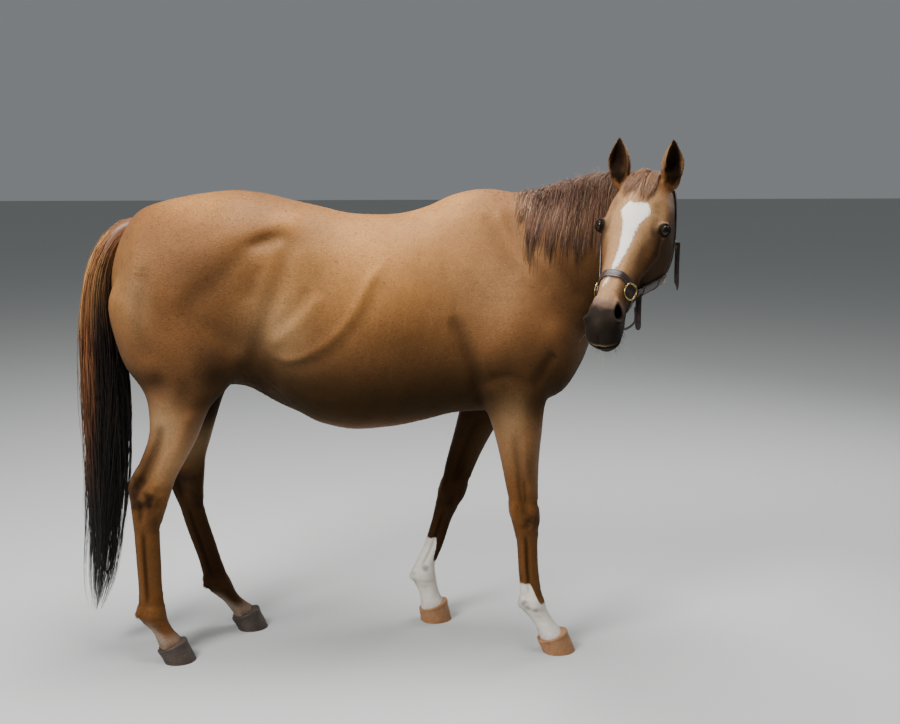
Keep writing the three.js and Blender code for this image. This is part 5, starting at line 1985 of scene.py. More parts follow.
def strands(name: str, lines: Array, width: Array, tint: Array, flat: float = 0.6) -> bpy.types.Object:
    """Solid tapering strands: three-sided tubes along lines, closed at root and tip.

    Args:
        name: The piece's name.
        lines: Places by strand and row, in her frame.
        width: Width by strand and row, in millimetres.
        tint: Linear colours by strand and row.
        flat: Thickness as a share of the width.

    Returns:
        The object, with its `tint` attribute and its UV map.
    """
    count, rows, _ = lines.shape
    along = unit(np.gradient(lines, axis=1))
    spin = np.linspace(0, 37.7, count)[:, None, None]
    aside = unit(np.cross(along, UP * np.cos(spin) + np.array([0.3, 0.9, 0.1]) * np.sin(spin) + 1e-3))
    over = np.cross(aside, along)
    angle = np.radians([90, 210, 330])
    ring = aside[:, :, None] * np.cos(angle)[:, None] + over[:, :, None] * np.sin(angle)[:, None] * flat
    rings = lines[:, :, None] + ring * (width / 2)[:, :, None, None]
    points = rings.reshape(-1, 3)
    one = strip(rows, 3)
    cap = np.array([[0, 2, 1], [(rows - 1) * 3, (rows - 1) * 3 + 1, (rows - 1) * 3 + 2]])
    shift = (np.arange(count) * rows * 3)[:, None, None]
    _, quads, tris = outward((points, (one + shift).reshape(-1, 4), (cap + shift).reshape(-1, 3)))
    obj = make(name, placed(points), quads, tris)
    paint(obj, tint=np.repeat(tint.reshape(-1, 3), 3, axis=0))
    uv = unwrap(lines[:, 0])
    patch = np.stack(np.meshgrid(np.linspace(0, 0.003, rows), (0.0, 0.001, 0.002), indexing="ij"), -1)
    bake_map(obj, (uv[:, None, None] + patch[None]).reshape(-1, 2))
    return obj


def bake_map(obj: bpy.types.Object, uv: Array) -> None:
    """Add the UV map `OFBake`, given for each point."""
    corners = np.empty(len(obj.data.loops), np.int32)
    obj.data.loops.foreach_get("vertex_index", corners)
    layer = obj.data.uv_layers.new(name="OFBake")
    layer.uv.foreach_set(
        "vector", np.ascontiguousarray(np.clip(uv, 0.001, 0.999)[corners], np.float32).ravel()
    )


@dataclass
class Fall:
    """Hair that leaves its root in one direction, bends down under its weight and lies on the skin."""

    tree: BVHTree
    rows: int = 10

    def lines(
        self, roots: Array, first: Array, length: Array, lift: Array, bend: Array, down: Array
    ) -> Array:
        """Follow each hair from its root.

        Each step's direction blends from the first direction to the downward one. A place that comes nearer
        to the skin than the hair's layer is set back on its layer.

        Args:
            roots: Places on the skin.
            first: Unit directions at the roots.
            length: Lengths.
            lift: Height of each hair's layer over the skin at its tip.
            bend: Share of the length over which the hair turns down.
            down: Directions in which the hair hangs at last.

        Returns:
            Places by hair and row.
        """
        out = [roots]
        step = length / (self.rows - 1)
        for row in range(1, self.rows):
            t = row / (self.rows - 1)
            turned = np.full(len(roots), t) if np.ndim(bend) == 0 else t / bend
            g = ease(turned, 0, 1)[:, None]
            here = out[-1] + unit(first * (1 - g) + down * g) * step[:, None]
            near = [self.tree.find_nearest(Vector(p)) for p in here]
            at = np.array([n[0] for n in near])
            normal = np.array([n[1] for n in near])
            height = dot(here - at, normal)
            layer = lift * min(1.0, 0.25 + t)
            here = here + normal * np.maximum(layer - height, 0)[:, None]
            out.append(here)
        return np.stack(out, 1)


def gathered(lines: Array, locks: Array, pull: Array) -> Array:
    """Draw hairs towards the middle line of their lock, by a share for each row."""
    count = int(locks.max()) + 1
    size = np.bincount(locks, minlength=count)[:, None, None]
    middle_line = np.zeros((count, *lines.shape[1:]))
    np.add.at(middle_line, locks, lines)
    return lines + ((middle_line / np.maximum(size, 1))[locks] - lines) * np.atleast_2d(pull)[..., None]


def locks_of(place: Array, count: int, rng: np.random.Generator) -> Array:
    """Number each hair by its lock: neighbours along the root line, in runs of random length."""
    edges = np.sort(rng.uniform(place.min(), place.max(), count - 1))
    return np.searchsorted(edges, place)


def shades(count: int, rng: np.random.Generator, codes: tuple[str, ...], weights: tuple[float, ...]) -> Array:
    """Linear colours picked at random among some shades and mixed a little."""
    table = np.array([rgb(c) for c in codes])
    pick = rng.choice(len(codes), count, p=np.array(weights) / sum(weights))
    other = rng.choice(len(codes), count, p=np.array(weights) / sum(weights))
    mix = rng.uniform(0, 0.35, (count, 1))
    return (table[pick] * (1 - mix) + table[other] * mix) * rng.uniform(0.75, 1.25, (count, 1))


@dataclass
class Mane:
    """The mane, which falls over her right side, with a few short hairs upright along the crest."""

    count: int = 3800
    seed: int = 11

    def build(self, skin: Skin, finish: bpy.types.Material) -> bpy.types.Object:
        """Grow the strands along the crest and let them fall.

        Returns:
            The joined strands.
        """
        rng = np.random.default_rng(self.seed)
        n = self.count // 1
        t = 0.42 + 0.54 * rng.beta(1.15, 0.95, n)
        wisp = rng.random(n) < 0.009
        across = rng.uniform(-20, 16, n) * ease(t, 0.25, 0.5)
        root = self._on_crest(skin, t, across)
        _, crest, aside = neck_frame(t)
        right = -aside
        rear = ease(t, 0.38, 0.62)
        length = (190 + (345 - 190) * rear) * rng.uniform(0.6, 1.0, n)
        length *= 1 - 0.2 * ease(t, 0.9, 0.96)
        trailing = (rng.random(n) < 0.07) & (t > 0.5) & (t < 0.82) & ~wisp
        length = np.where(trailing, rng.uniform(380, 480, n), length)
        locks = locks_of(t + rng.normal(0, 0.003, n), 72, rng)
        swing = rng.normal(0, 0.14, (int(locks.max()) + 1, 3))[locks] + rng.normal(0, 0.05, (n, 3))
        first = unit(right + crest * rng.uniform(0.0, 0.4, (n, 1)) + swing)
        first = np.where(trailing[:, None], unit(right - crest * 0.1 + swing * 0.3), first)
        first = np.where(wisp[:, None], unit(crest + right * 0.35 + swing * 1.6), first)
        length = np.where(wisp, rng.uniform(14, 36, n), length)
        back = unit(
            np.array([0.02, 0.0, -1.0]) * (1 - rear)[:, None] + np.array([-0.04, 0, -1.0]) * rear[:, None]
        )
        lift = rng.uniform(1.0, 8.0, n)
        bend = np.where(wisp, 6.0, rng.uniform(0.25, 0.55, n))
        lines = Fall(skin.tree(), 9).lines(root, first, length, lift, bend, unit(back + swing * 0.5))
        pull = np.linspace(0, 1, 9)[None] * np.where(wisp, 0.0, rng.uniform(0.3, 0.75, n))[:, None]
        lines = gathered(lines, locks, pull)
        share = np.linspace(0, 1, 9)
        lines += rng.normal(0, 1, (n, 1, 3)) * np.sin(share * rng.uniform(3, 9, (n, 1)))[..., None] * 2.2
        width = rng.uniform(1.0, 2.0, n)[:, None] * (1 - 0.8 * share**2.2)
        codes = ("5a3a30", "7a5340", "997052", "c2a07a", "36211d")
        tone = shades(n, rng, codes, (3, 4, 3.4, 1.2, 1.3))
        gold = shades(n, rng, ("c99a62", "a9733f"), (1, 1))
        light = np.maximum(wisp, ease(-t, -0.5, -0.36) * 0.8)[:, None]
        tone = tone * (1 - light) + gold * light
        tone = np.where(trailing[:, None], rgb("24150f"), tone)
        dark = (0.72 + 0.28 * share)[None, :, None] * (1 - 0.25 * ease(t, 0.6, 0.95))[:, None, None]
        obj = strands("mane_hair", lines, width, tone[:, None] * dark)
        obj.data.materials.append(finish)
        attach(obj, "root")
        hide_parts("mane")
        return obj

    @staticmethod
    def _on_crest(skin: Skin, t: Array, across: Array) -> Array:
        """Places on the skin under the crest line, found by rays down from above."""
        tree = skin.tree()
        at, crest, aside = neck_frame(t)
        start = at + crest * 420 + aside * across[:, None]
        hits = [tree.ray_cast(Vector(p), Vector(-c))[0] for p, c in zip(start, crest)]
        found = np.array([h if h is not None else (np.nan,) * 3 for h in hits], float)
        return found - crest * 2.0


@dataclass
class Forelock:
    """The forelock, combed down between the ears over the forehead."""

    count: int = 1200
    seed: int = 12

    def build(self, skin: Skin, finish: bpy.types.Material) -> bpy.types.Object:
        """Grow the strands at the poll and lay them down the face.

        Returns:
            The joined strands.
        """
        rng = np.random.default_rng(self.seed)
        n = self.count // 1
        across = rng.uniform(-40, 40, n)
        s = rng.uniform(-58, 26, n)
        wisp = rng.random(n) < 0.16
        across = np.where(wisp, rng.uniform(-30, -2, n), across)
        s = np.where(wisp, rng.uniform(-54, -22, n), s)
        along, left, face = HEAD.axes()
        tree = skin.tree()
        start = HEAD.point(s, across, np.full(n, 120.0))
        hits = [tree.ray_cast(Vector(p), Vector(-face))[0] for p in start]
        root = np.array([h if h is not None else HEAD.point(0.0, 0.0, 0.0) for h in hits], float) - face * 2
        length = (172 - 0.5 * s - 0.4 * np.abs(across)) * rng.uniform(0.6, 1.0, n)
        length = np.where(wisp, rng.uniform(16, 44, n), length)
        locks = locks_of(across + rng.normal(0, 3, n), 26, rng)
        sway = rng.normal(0, 0.1, int(locks.max()) + 1)[locks] + rng.normal(0, 0.03, n)
        side = left * (sway - 0.1 * across / 40)[:, None]
        first = unit(along + face * rng.uniform(0.1, 0.6, (n, 1)) + side)
        first = np.where(wisp[:, None], unit(face * 0.7 + UP + left * 0.5 + side), first)
        rise = rng.uniform(1.5, 9, n) + 9 * ease(-s, -10, 40)
        lines = Fall(tree, 10).lines(
            root, first, length, rise, np.full(n, 0.35), unit(along + side - 0.12 * face)
        )
        share = np.linspace(0, 1, 10)
        lines = gathered(lines, locks, share[None] * rng.uniform(0.2, 0.6, n)[:, None])
        lines += rng.normal(0, 1, (n, 1, 3)) * np.sin(share * rng.uniform(3, 8, (n, 1)))[..., None] * 1.2
        width = rng.uniform(0.8, 1.5, n)[:, None] * (1 - 0.8 * share**2)
        tone = shades(n, rng, ("6b4636", "84593f", "9f7450", "bd9468"), (3, 4, 3.4, 1.6))
        tone = np.where(wisp[:, None], rgb("c49a66"), tone)
        obj = strands("forelock_hair", lines, width, tone[:, None] * (0.75 + 0.25 * share)[None, :, None])
        obj.data.materials.append(finish)
        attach(obj, "root")
        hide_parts("forelock")
        return obj


@dataclass
class Tail:
    """The tail: hair from the dock in locks that part at the end, light at the top and rear, dark within."""

    count: int = 2300
    rows: int = 15
    seed: int = 13

    def build(self, finish: bpy.types.Material) -> list[bpy.types.Object]:
        """Run each strand along the tail's line at its own place in the section.

        Returns:
            The dock and the joined strands.
        """
        rng = np.random.default_rng(self.seed)
        n = self.count // 1
        start, end = rng.beta(1.0, 1.5, n) * 0.3, 0.46 + 0.54 * rng.beta(1.5, 1.15, n)
        share = np.linspace(0, 1, self.rows)
        t = start[:, None] + (end - start)[:, None] * share
        count = 96
        turn, reach = rng.uniform(0, 2 * np.pi, count), np.sqrt(rng.uniform(0.05, 1, count))
        lock = rng.integers(0, count, n)
        angle = turn[lock] + rng.normal(0, 0.42, n)
        radius = np.clip(reach[lock] + rng.normal(0, 0.16, n), 0.04, 1.0)
        gather = ease(share, 0.35, 1.0)[None]
        angle = angle[:, None] + (turn[lock] - angle)[:, None] * gather * 0.93
        radius = radius[:, None] + (reach[lock] - radius)[:, None] * gather * 0.88
        radius = 0.5 + (radius - 0.5) * ease(share, -0.25, 0.3)[None]
        radius = radius * (0.9 + 0.1 * np.sin(7 * t + turn[lock][:, None]))
        size = TAIL(t)
        heading = TAIL_LINE.heading(t)
        aside = np.array([0.0, 1.0, 0.0])
        behind = unit(np.cross(aside, heading))
        spread = 1 + 0.35 * ease(t, 0.8, 1.0)
        x = np.cos(angle) * radius * size["thick"] * spread
        y = np.sin(angle) * radius * size["half"] * spread
        lines = TAIL_LINE.at(t) + behind * x[..., None] + aside * y[..., None]
        wave = rng.normal(0, 1, (count, 1, 3))[lock] * np.sin(share * 5 + turn[lock][:, None])[..., None] * 9
        loose = (
            rng.normal(0, 1, (n, 1, 3)) * (np.sin(share * rng.uniform(2, 8, (n, 1))) * share)[..., None] * 3.5
        )
        lines = lines + (wave + loose) * (0.2 + share)[None, :, None] * np.array([1, 1, 0.2])
        lines[..., 2] -= 26 * ease(t, 0.6, 1.0)
        width = (
            rng.uniform(2.0, 4.0, n)[:, None] * (0.75 + 0.25 * np.sin(np.pi * share)) * (1 - 0.82 * share**3)
        )
        dark = shades(n, rng, ("0f0b0a", "1b120f", "2f1d15"), (4, 3, 1.2))
        mid = shades(n, rng, ("6b4128", "8a5632", "40261a"), (3, 3, 2))
        gold = shades(n, rng, ("a3703f", "c2935c", "7f5230"), (3, 2, 2))
        rear = np.clip(x / (size["thick"] * 0.9), -1, 1)
        high = ease(-t, -0.34, -0.06)
        g = np.clip(
            high * (0.35 + 0.75 * ease(rear, -0.6, 0.7))
            + 0.35 * ease(rear, 0.62, 0.98) * ease(-t, -0.75, -0.3),
            0,
            1,
        )
        m = np.clip(ease(rear, -0.1, 0.7) * ease(-t, -0.82, -0.3) * 1.2, 0, 1)
        tone = dark[:, None] * (1 - m)[..., None] + mid[:, None] * m[..., None]
        tone = tone * (1 - g)[..., None] + gold[:, None] * g[..., None]
        hair = strands("tail_hair", lines, width, tone, 0.55)
        dock = self._core()
        for obj in (hair, dock):
            obj.data.materials.append(finish)
            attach(obj, "root")
            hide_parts("tail")
        return [hair, dock]

    @staticmethod
    def _core() -> bpy.types.Object:
        """The dock's flesh and the tail's dark inside, painted near black as the shade within the hair, so
        that no light shows between strands.
        """
        t = np.linspace(0, 0.85, 60)
        size = TAIL(t)
        angle = np.linspace(0, 2 * np.pi, 20, endpoint=False)
        heading = TAIL_LINE.heading(t)
        aside = np.array([0.0, 1.0, 0.0])
        behind = unit(np.cross(aside, heading))
        share = (0.72 * (1 - 0.85 * ease(t, 0.4, 0.82)) * rounding(0.86 - t, 0.12))[:, None, None]
        rings = (
            TAIL_LINE.at(t)[:, None]
            + behind[:, None] * (np.cos(angle)[None, :, None] * size["thick"][:, None, None] * share)
        )
        rings = rings + aside * (np.sin(angle)[None, :, None] * size["half"][:, None, None] * share)
        points, quads, tris = outward(closed_loft(rings))
        obj = make("tail_core", placed(points), quads, tris)
        place = np.concatenate([np.repeat(t, 20), [0.0, 0.85]])[:, None]
        # Painted shade: the core turns near black below the dock.
        paint(obj, tint=rgb("6d4429") * (1 - ease(place, 0.08, 0.3)) + rgb("0f0a08") * ease(place, 0.08, 0.3))
        bake_map(obj, unwrap(points))
        return obj


# ------------------------------------------------------------------ hooves and eyes


@dataclass
class Hoof:
    """A hoof: wall with growth rings, heel bulbs, and a hollow sole that stands on its rim."""

    leg: Leg
    sides: int = 72
    rings: int = 34

    def build(self, finish: bpy.types.Material) -> bpy.types.Object:
        """Loft the wall from the hair line to the ground and close it with the sole.

        The wall bulges under the coronet, dips a little below it and flares to the rim. Its ripples are
        growth rings that run level with the coronet. The heel's two bulbs part at a cleft.

        Args:
            finish: The horn.

        Returns:
            The hoof.
        """
        leg, base = self.leg, self.leg.shape(self.leg.shape.at[0])
        low = leg.shape.at[0]
        a = np.linspace(0, 2 * np.pi, self.sides, endpoint=False)
        reach = np.where(np.cos(a) > 0, base["front"], base["back"])
        cx, cy = leg.line(low)["x"], leg.centre(np.array(low))
        crown = np.stack([cx + np.cos(a) * reach, cy + np.sin(a) * base["half"]], -1)
        crown_z = leg.hair_line(crown[:, 0]) + 2
        sx = leg.line(0.0)["x"]
        sole = np.stack([sx + np.cos(a) * reach * 1.2, cy + np.sin(a) * base["half"] * 1.14], -1)
        heel = ease(-np.cos(a), 0.55, 0.95)
        cleft = bell(a - np.pi, 0.16)
        u = np.linspace(0, 1, self.rings)[:, None]
        flat = crown[None] * (1 - u)[..., None] + sole[None] * u[..., None]
        out = unit(np.stack([np.cos(a), np.sin(a)], -1))
        bulge = 1.6 * bell(u - 0.08, 0.07) - 1.2 * bell(u - 0.3, 0.2)
        ripple = 0.45 * np.sin(u * 46 + 1.5 * np.sin(3 * a)) * ease(u, 0.1, 0.25) * (1 - heel)
        bulbs = (
            heel * (6.5 * bell(u - 0.22, 0.26) - 3.0 * ease(u, 0.45, 1.0)) - 7.0 * cleft * bell(u - 0.2, 0.5)
        )
        flat = flat + out[None] * (bulge + ripple + bulbs)[..., None]
        z = crown_z[None] * (1 - u) + 0.35 * np.sin(np.pi * u)
        wall = np.dstack([flat, z])
        inner = [self._drawn(wall[0], (cx, cy), k, wall[0][:, 2] + 8 * (1 - k)) for k in (0.3, 0.7, 0.9)]
        under = ((0.94, 0.0), (0.86, 0.0), (0.82, 4.0), (0.5, 7.0), (0.15, 7.5))
        rim = [self._drawn(wall[-1], (sx, cy), k, np.full(self.sides, h)) for k, h in under]
        rings = np.stack([*inner, *wall, *rim])[::-1]
        points, quads, tris = outward(closed_loft(rings))
        obj = make(f"{leg.name}_hoof_horn", placed(points), quads, tris)
        obj.data.materials.append(finish)
        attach(obj, "root")
        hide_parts(f"{leg.name}_hoof")
        return obj

    @staticmethod
    def _drawn(ring: Array, middle: tuple[float, float], share: float, z: Array) -> Array:
        """A ring drawn towards a middle by a share, at new heights."""
        return np.column_stack([np.array(middle) + (ring[:, :2] - np.array(middle)) * share, z])


@dataclass
class Eye:
    """An eyeball with a bulging cornea, dark iris and level pupil."""

    side: int
    rings: int = 40
    sides: int = 56

    def build(self, finish: bpy.types.Material) -> bpy.types.Object:
        """Make the globe: rings about its outward axis, the cornea lifted over the iris.

        Args:
            finish: The wet surface.

        Returns:
            The eye.
        """
        a = np.linspace(0.004, np.pi - 0.004, self.rings)[:, None]
        b = np.linspace(0, 2 * np.pi, self.sides, endpoint=False)[None]
        out = gaze(self.side)[0] @ HEAD.axes()
        level = unit(np.cross(UP, out))
        upright = np.cross(out, level)
        radius = EYE_RADIUS - 0.6 + 1.5 * ease(np.cos(a), 0.62, 0.96)
        x = np.sin(a) * np.cos(b) * radius
        y = np.sin(a) * np.sin(b) * radius
        z = np.cos(a) * radius * np.ones_like(b)
        middle_at = HEAD.point(EYE_AT[0], self.side * EYE_AT[1], EYE_AT[2])
        rings = middle_at + level * x[..., None] + upright * y[..., None] + out * z[..., None]
        points, quads, tris = outward(closed_loft(rings))
        obj = make(f"{'left' if self.side > 0 else 'right'}_eye_globe", placed(points), quads, tris)
        u, v = (np.concatenate([k.ravel(), [0.0, 0.0]]) for k in (x, y))
        w = np.concatenate([z.ravel(), [radius[0, 0], -radius[-1, 0]]])
        ring = np.sqrt(u * u + v * v)
        iris = (ease(-ring, -14.5, -12.5) * (w > 0))[:, None]
        pupil = (ease(-np.sqrt((u / 7.5) ** 2 + (v / 3.6) ** 2), -1.1, -0.85) * (w > 0))[:, None]
        tone = rgb("0d0908") * (1 - iris) + rgb("170d08") * iris
        tone = tone * (1 - pupil) + rgb("040405") * pupil
        paint(obj, tint=tone * (0.9 + 0.2 * bell(ring - 9, 4))[:, None])
        obj.data.materials.append(finish)
        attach(obj, "root")
        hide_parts(f"{'left' if self.side > 0 else 'right'}_eye")
        return obj


# ------------------------------------------------------------------ headcollar


def band_rings(low: Array, high: Array, out: Array, thick: float, raised: float = 0.45) -> Array:
    """Sections of a leather strap between two edges: a soft raised edge, a stitch groove and a full middle.

    Args:
        low: One edge's line.
        high: The other edge's line.
        out: Outward normals along it.
        thick: Thickness.
        raised: How far the edges stand over the stitch groove.

    Returns:
        Points by place and side.
    """
    across = np.array([-1, -1.02, -0.96, -0.86, -0.76, -0.5, 0, 0.5, 0.76, 0.86, 0.96, 1.02, 1.0])
    edge = np.array([thick, thick * 0.4, 0.3, raised * 0.4, raised + 0.3, 0.1])
    top = thick - np.concatenate([edge, [0], edge[::-1]])
    centre, half = (low + high) / 2, (high - low) / 2
    return centre[:, None] + half[:, None] * across[None, :, None] + out[:, None] * top[None, :, None]


def looped(rings: Array) -> tuple[Array, Array, Array]:
    """Join rings into a closed hoop."""
    rows, sides, _ = rings.shape
    return rings.reshape(-1, 3), strip(rows + 1, sides) % (rows * sides), np.empty((0, 3), int)


def many(rings: Array) -> tuple[Array, Array, Array]:
    """Many small closed lofts alike, given by piece, row, side and axis."""
    count = len(rings)
    one_points, one_quads, one_tris = closed_loft(rings[0])
    ends = np.stack([rings[:, 0].mean(1), rings[:, -1].mean(1)], 1)
    points = np.concatenate([rings.reshape(count, -1, 3), ends], 1)
    shift = (np.arange(count) * len(one_points))[:, None, None]
    return points.reshape(-1, 3), (one_quads + shift).reshape(-1, 4), (one_tris + shift).reshape(-1, 3)


def taut(angle: Array, radius: Array) -> Array:
    """Radii of a strap pulled tight over a closed outline: its convex hull, by supporting lines.

    Each of 360 directions has a line that just touches the outline. The strap runs at the nearest of them.
    """
    outline = np.stack([np.cos(angle), np.sin(angle)], -1)
    turn = np.linspace(0, 2 * np.pi, 360, endpoint=False)
    normal = np.stack([np.cos(turn), np.sin(turn)], -1)
    support = np.max((outline * radius[:, None]) @ normal.T, axis=0)
    facing = outline @ normal.T
    return np.min(np.where(facing > 0.05, support / np.maximum(facing, 0.05), 1e9), axis=1)


def over(height: Array) -> Array:
    """Heights of a strap pulled tight over a profile: its upper hull, by supporting lines of many slopes."""
    x = np.linspace(0, 100, len(height))
    slope = np.linspace(-3, 3, 241)[:, None]
    return np.min(np.max(height[None] - slope * x[None], axis=1)[:, None] + slope * x[None], axis=0)


def spaced(lines: list[Array], step: float, closed: bool) -> list[Array]:
    """Resample lines together at even steps along the first two's middle."""
    middle_line = (lines[0] + lines[1]) / 2
    if closed:
        lines = [np.vstack([k, k[:1]]) for k in lines]
        middle_line = np.vstack([middle_line, middle_line[:1]])
    run = np.concatenate([[0], np.cumsum(np.linalg.norm(np.diff(middle_line, axis=0), axis=1))])
    count = max(int(run[-1] / step), 8)
    t = np.linspace(0, run[-1], count + 1)[: count if closed else count + 1]
    return [np.stack([np.interp(t, run, k[:, a]) for a in range(3)], -1) for k in lines]


@dataclass(frozen=True)
class Ring:
    """A metal ring on a strap."""

    node: str
    radius: float
    wire: float
    stretch: float
    facing: tuple[float, float]
    square: float = 2.0
    slide: float = 0.0
    sunk: float = 0.0


@dataclass
class HeadCollar:
    """A leather headcollar: noseband, crown strap, jaw straps, rings, buckle and hanging ends."""

    tree: BVHTree
    leather: bpy.types.Material
    brass: bpy.types.Material
    thread: bpy.types.Material
    width: float = 25.0
    thick: float = 4.0
    lift: float = 1.4
    stitched: list[tuple[Array, Array, Array]] = field(default_factory=list)

    def build(self) -> None:
        """Lay the straps over the skin and hang the metal on them."""
        self._belt("noseband", (398, 30), (434, -230))
        self._belt("crown_strap", (-62, 17), (236, -285))
        for side, word in ((-1, "right"), (1, "left")):
            self._jaw(f"{word}_jaw_strap", side)
            turn, slide, sunk = ((0.0, -0.1), 0.0, 26.0) if side < 0 else ((0.3, 0.6), 9.0, 0.0)
            nose_ring = Ring(f"{word}_noseband_ring", 21.5, 2.3, 1.08, turn, 2.4, slide, sunk)
            self._ring(nose_ring, side)
            self._safe(nose_ring, side)
            self._ring(Ring(f"{word}_cheek_ring", 14, 2.4, 1.0, (0.0, -0.3)), side)
        self._ring(Ring("left_buckle", 13, 1.8, 1.0, (0.0, 0.0), 3.6), 1)
        self._tongue()
        self._hanging("crown_strap_end", (142, 106, -202), 15, 106, 9, 30)
        self._hanging("chin_strap_end", (390, 54, -142), 18, 80, 0, 22)
        self._chin_loop()
        self._cheek()
        self._stitches()

    def _finish(
        self, node: str, mesh: tuple[Array, Array, Array], material: bpy.types.Material, kind: str
    ) -> None:
        """Make a piece that replaces a node."""
        points, quads, tris = mesh
        obj = make(f"{node}_{kind}", placed(points), quads, tris)
        obj.data.materials.append(material)
        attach(obj, "root")
        if node in frame["nodes"]:
            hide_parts(node)

    def _belt(self, node: str, first: tuple[float, float], last: tuple[float, float]) -> None:
        """A strap right round the head, in the plane through two places down and out of the face."""
        along, left, face = HEAD.axes()
        way = unit(along * (last[0] - first[0]) + face * (last[1] - first[1]))
        normal = np.cross(way, left)
        centre = HEAD.point((first[0] + last[0]) / 2, 0.0, (first[1] + last[1]) / 2)
        angle = np.linspace(0, 2 * np.pi, 180, endpoint=False)
        ray = way * np.cos(angle)[:, None] + left * np.sin(angle)[:, None]
        edges = []
        for side in (-1, 1):
            start = centre + normal * side * (self.width / 2 - 1)
            hits = [self.tree.ray_cast(Vector(start), Vector(r), 400)[3] for r in ray]
            radius = np.array([h if h is not None else np.nan for h in hits], float)
            on_ear = up_ear(start + ray * np.nan_to_num(radius)[:, None]) > 0.02
            radius = np.where(on_ear, np.nan, radius)
            good = ~np.isnan(radius)
            radius = np.interp(angle, angle[good], radius[good], period=2 * np.pi)
            edges.append(
                centre + normal * side * self.width / 2 + ray * (taut(angle, radius) + self.lift)[:, None]
            )
        low, high = spaced(edges, 3.0, True)
        run = np.roll(low, -1, axis=0) - np.roll(low, 1, axis=0)
        out = unit(np.cross(high - low, run))
        out *= np.sign(dot(out, low - centre))[:, None]
        self.stitched.append((low, high, out))
        rings = band_rings(low, high, out, self.thick)
        self._finish(node, outward(looped(rings)), self.leather, "leather")

    def _over_side(
        self, ends: tuple, side: int, width: float, step: float = 2.5
    ) -> tuple[Array, Array, Array]:
        """Edges and normals of a strap on one side of the head, between places down and out of the face."""
        _, left, _ = HEAD.axes()
        a, b = np.array(ends[0], float), np.array(ends[1], float)
        t = np.linspace(0, 1, 60)[:, None]
        line = a + (b - a) * t
        cross = unit(np.array([-(b - a)[1], (b - a)[0]]))
        edges = []
        for k in (-1, 1):
            flat = line + cross * k * width / 2
            start = HEAD.point(flat[:, 0], np.full(60, side * 240.0), flat[:, 1])
            hits = [self.tree.ray_cast(Vector(p), Vector(-left * side), 300)[3] for p in start]
            depth = np.array([h if h is not None else np.nan for h in hits], float)
            good = ~np.isnan(depth)
            depth = np.interp(np.arange(60), np.arange(60)[good], depth[good])
            height = over(240 - depth) + self.lift
            edges.append(HEAD.point(flat[:, 0], side * height, flat[:, 1]))
        low, high = spaced(edges, step, False)
        out = unit(np.cross(high - low, np.gradient(low, axis=0)))
        return low, high, out * np.sign(out @ left * side)[:, None]

    def _jaw(self, node: str, side: int) -> None:
        """The doubled strap from the noseband's ring to the cheek's ring, with its keeper."""
        low, high, out = self._over_side(((402, -98), (219, -240)), side, self.width)
        self.stitched.append((low, high, out))
        rings = band_rings(low, high, out, self.thick)
        upper = self._narrowed(low, high, 0.92)
        second = (
            band_rings(upper[0][6:-5], upper[1][6:-5], out[6:-5], 3.2)
            + out[6:-5][:, None] * (self.thick - 0.3)
        )
        parts = [closed_loft(self._eased(r)) for r in (rings, second)]
        for at in (0.24, 0.7):
            k = int(at * len(low))
            parts.append(self._keeper(low[k : k + 5], high[k : k + 5], out[k : k + 5]))
        self._finish(node, outward(joined(parts)), self.leather, "leather")

    def _cheek(self) -> None:
        """The cheek strap on the right side, from the noseband up under the eye to the crown strap."""
        low, high, out = self._over_side(((404, -54), (54, -106)), -1, 20)
        self.stitched.append((low, high, out))
        mesh = closed_loft(self._eased(band_rings(low, high, out, 3.4)))
        self._finish("right_cheek_strap", outward(mesh), self.leather, "leather")

    @staticmethod
    def _narrowed(low: Array, high: Array, share: float) -> tuple[Array, Array]:
        """Edges drawn towards their middle."""
        centre = (low + high) / 2
        return centre + (low - centre) * share, centre + (high - centre) * share

    @staticmethod
    def _eased(rings: Array) -> Array:
        """Rounded ends for a strap: the last sections shrink towards their middle."""
        share = np.ones(len(rings))
        share[:3] = (0.55, 0.82, 0.95)
        share[-3:] = (0.95, 0.82, 0.55)
        centre = rings.mean(1, keepdims=True)
        return centre + (rings - centre) * share[:, None, None]

    @staticmethod
    def _keeper(low: Array, high: Array, out: Array) -> tuple[Array, Array, Array]:
        """A narrow loop of leather round a strap."""
        grown = ((low - high) * 0.06, (high - low) * 0.06)
        rings = band_rings(low + grown[0], high + grown[1], out, 2.0, 0.1) + out[:, None] * 6.6
        return closed_loft(rings)

    def _ring(self, ring: Ring, side: int) -> None:
        """A cast ring: a superellipse swept by a flattened round section."""
        centre, axis, down, across = self._ring_frame(ring, side)
        a = np.linspace(0, 2 * np.pi, 72, endpoint=False)[:, None]
        b = np.linspace(0, 2 * np.pi, 14, endpoint=False)[None]
        c, s = np.cos(a), np.sin(a)
        outline = (np.abs(c) ** ring.square + np.abs(s) ** ring.square) ** (-1 / ring.square)
        r = outline * ring.radius + np.cos(b) * ring.wire
        rings = down * (c * r * ring.stretch)[..., None] + across * (s * r)[..., None]
        rings = rings + axis * (np.sin(b) * ring.wire * 0.85 * np.ones_like(a))[..., None]
        mesh = looped(centre + rings)
        self._finish(ring.node, outward(mesh), self.brass, "brass")

    @staticmethod
    def _ring_frame(ring: Ring, side: int) -> tuple[Array, Array, Array, Array]:
        """Middle of a ring, its axis away from the head, and its directions down and across."""
        along, left, face = HEAD.axes()
        axis = unit(left * side + along * ring.facing[0] + face * ring.facing[1])
        across = unit(np.cross(axis, along))
        centre = (middle(ring.node) - ORIGIN) * 1000 - axis * 5 + along * ring.slide - face * ring.sunk
        return centre, axis, np.cross(across, axis), across

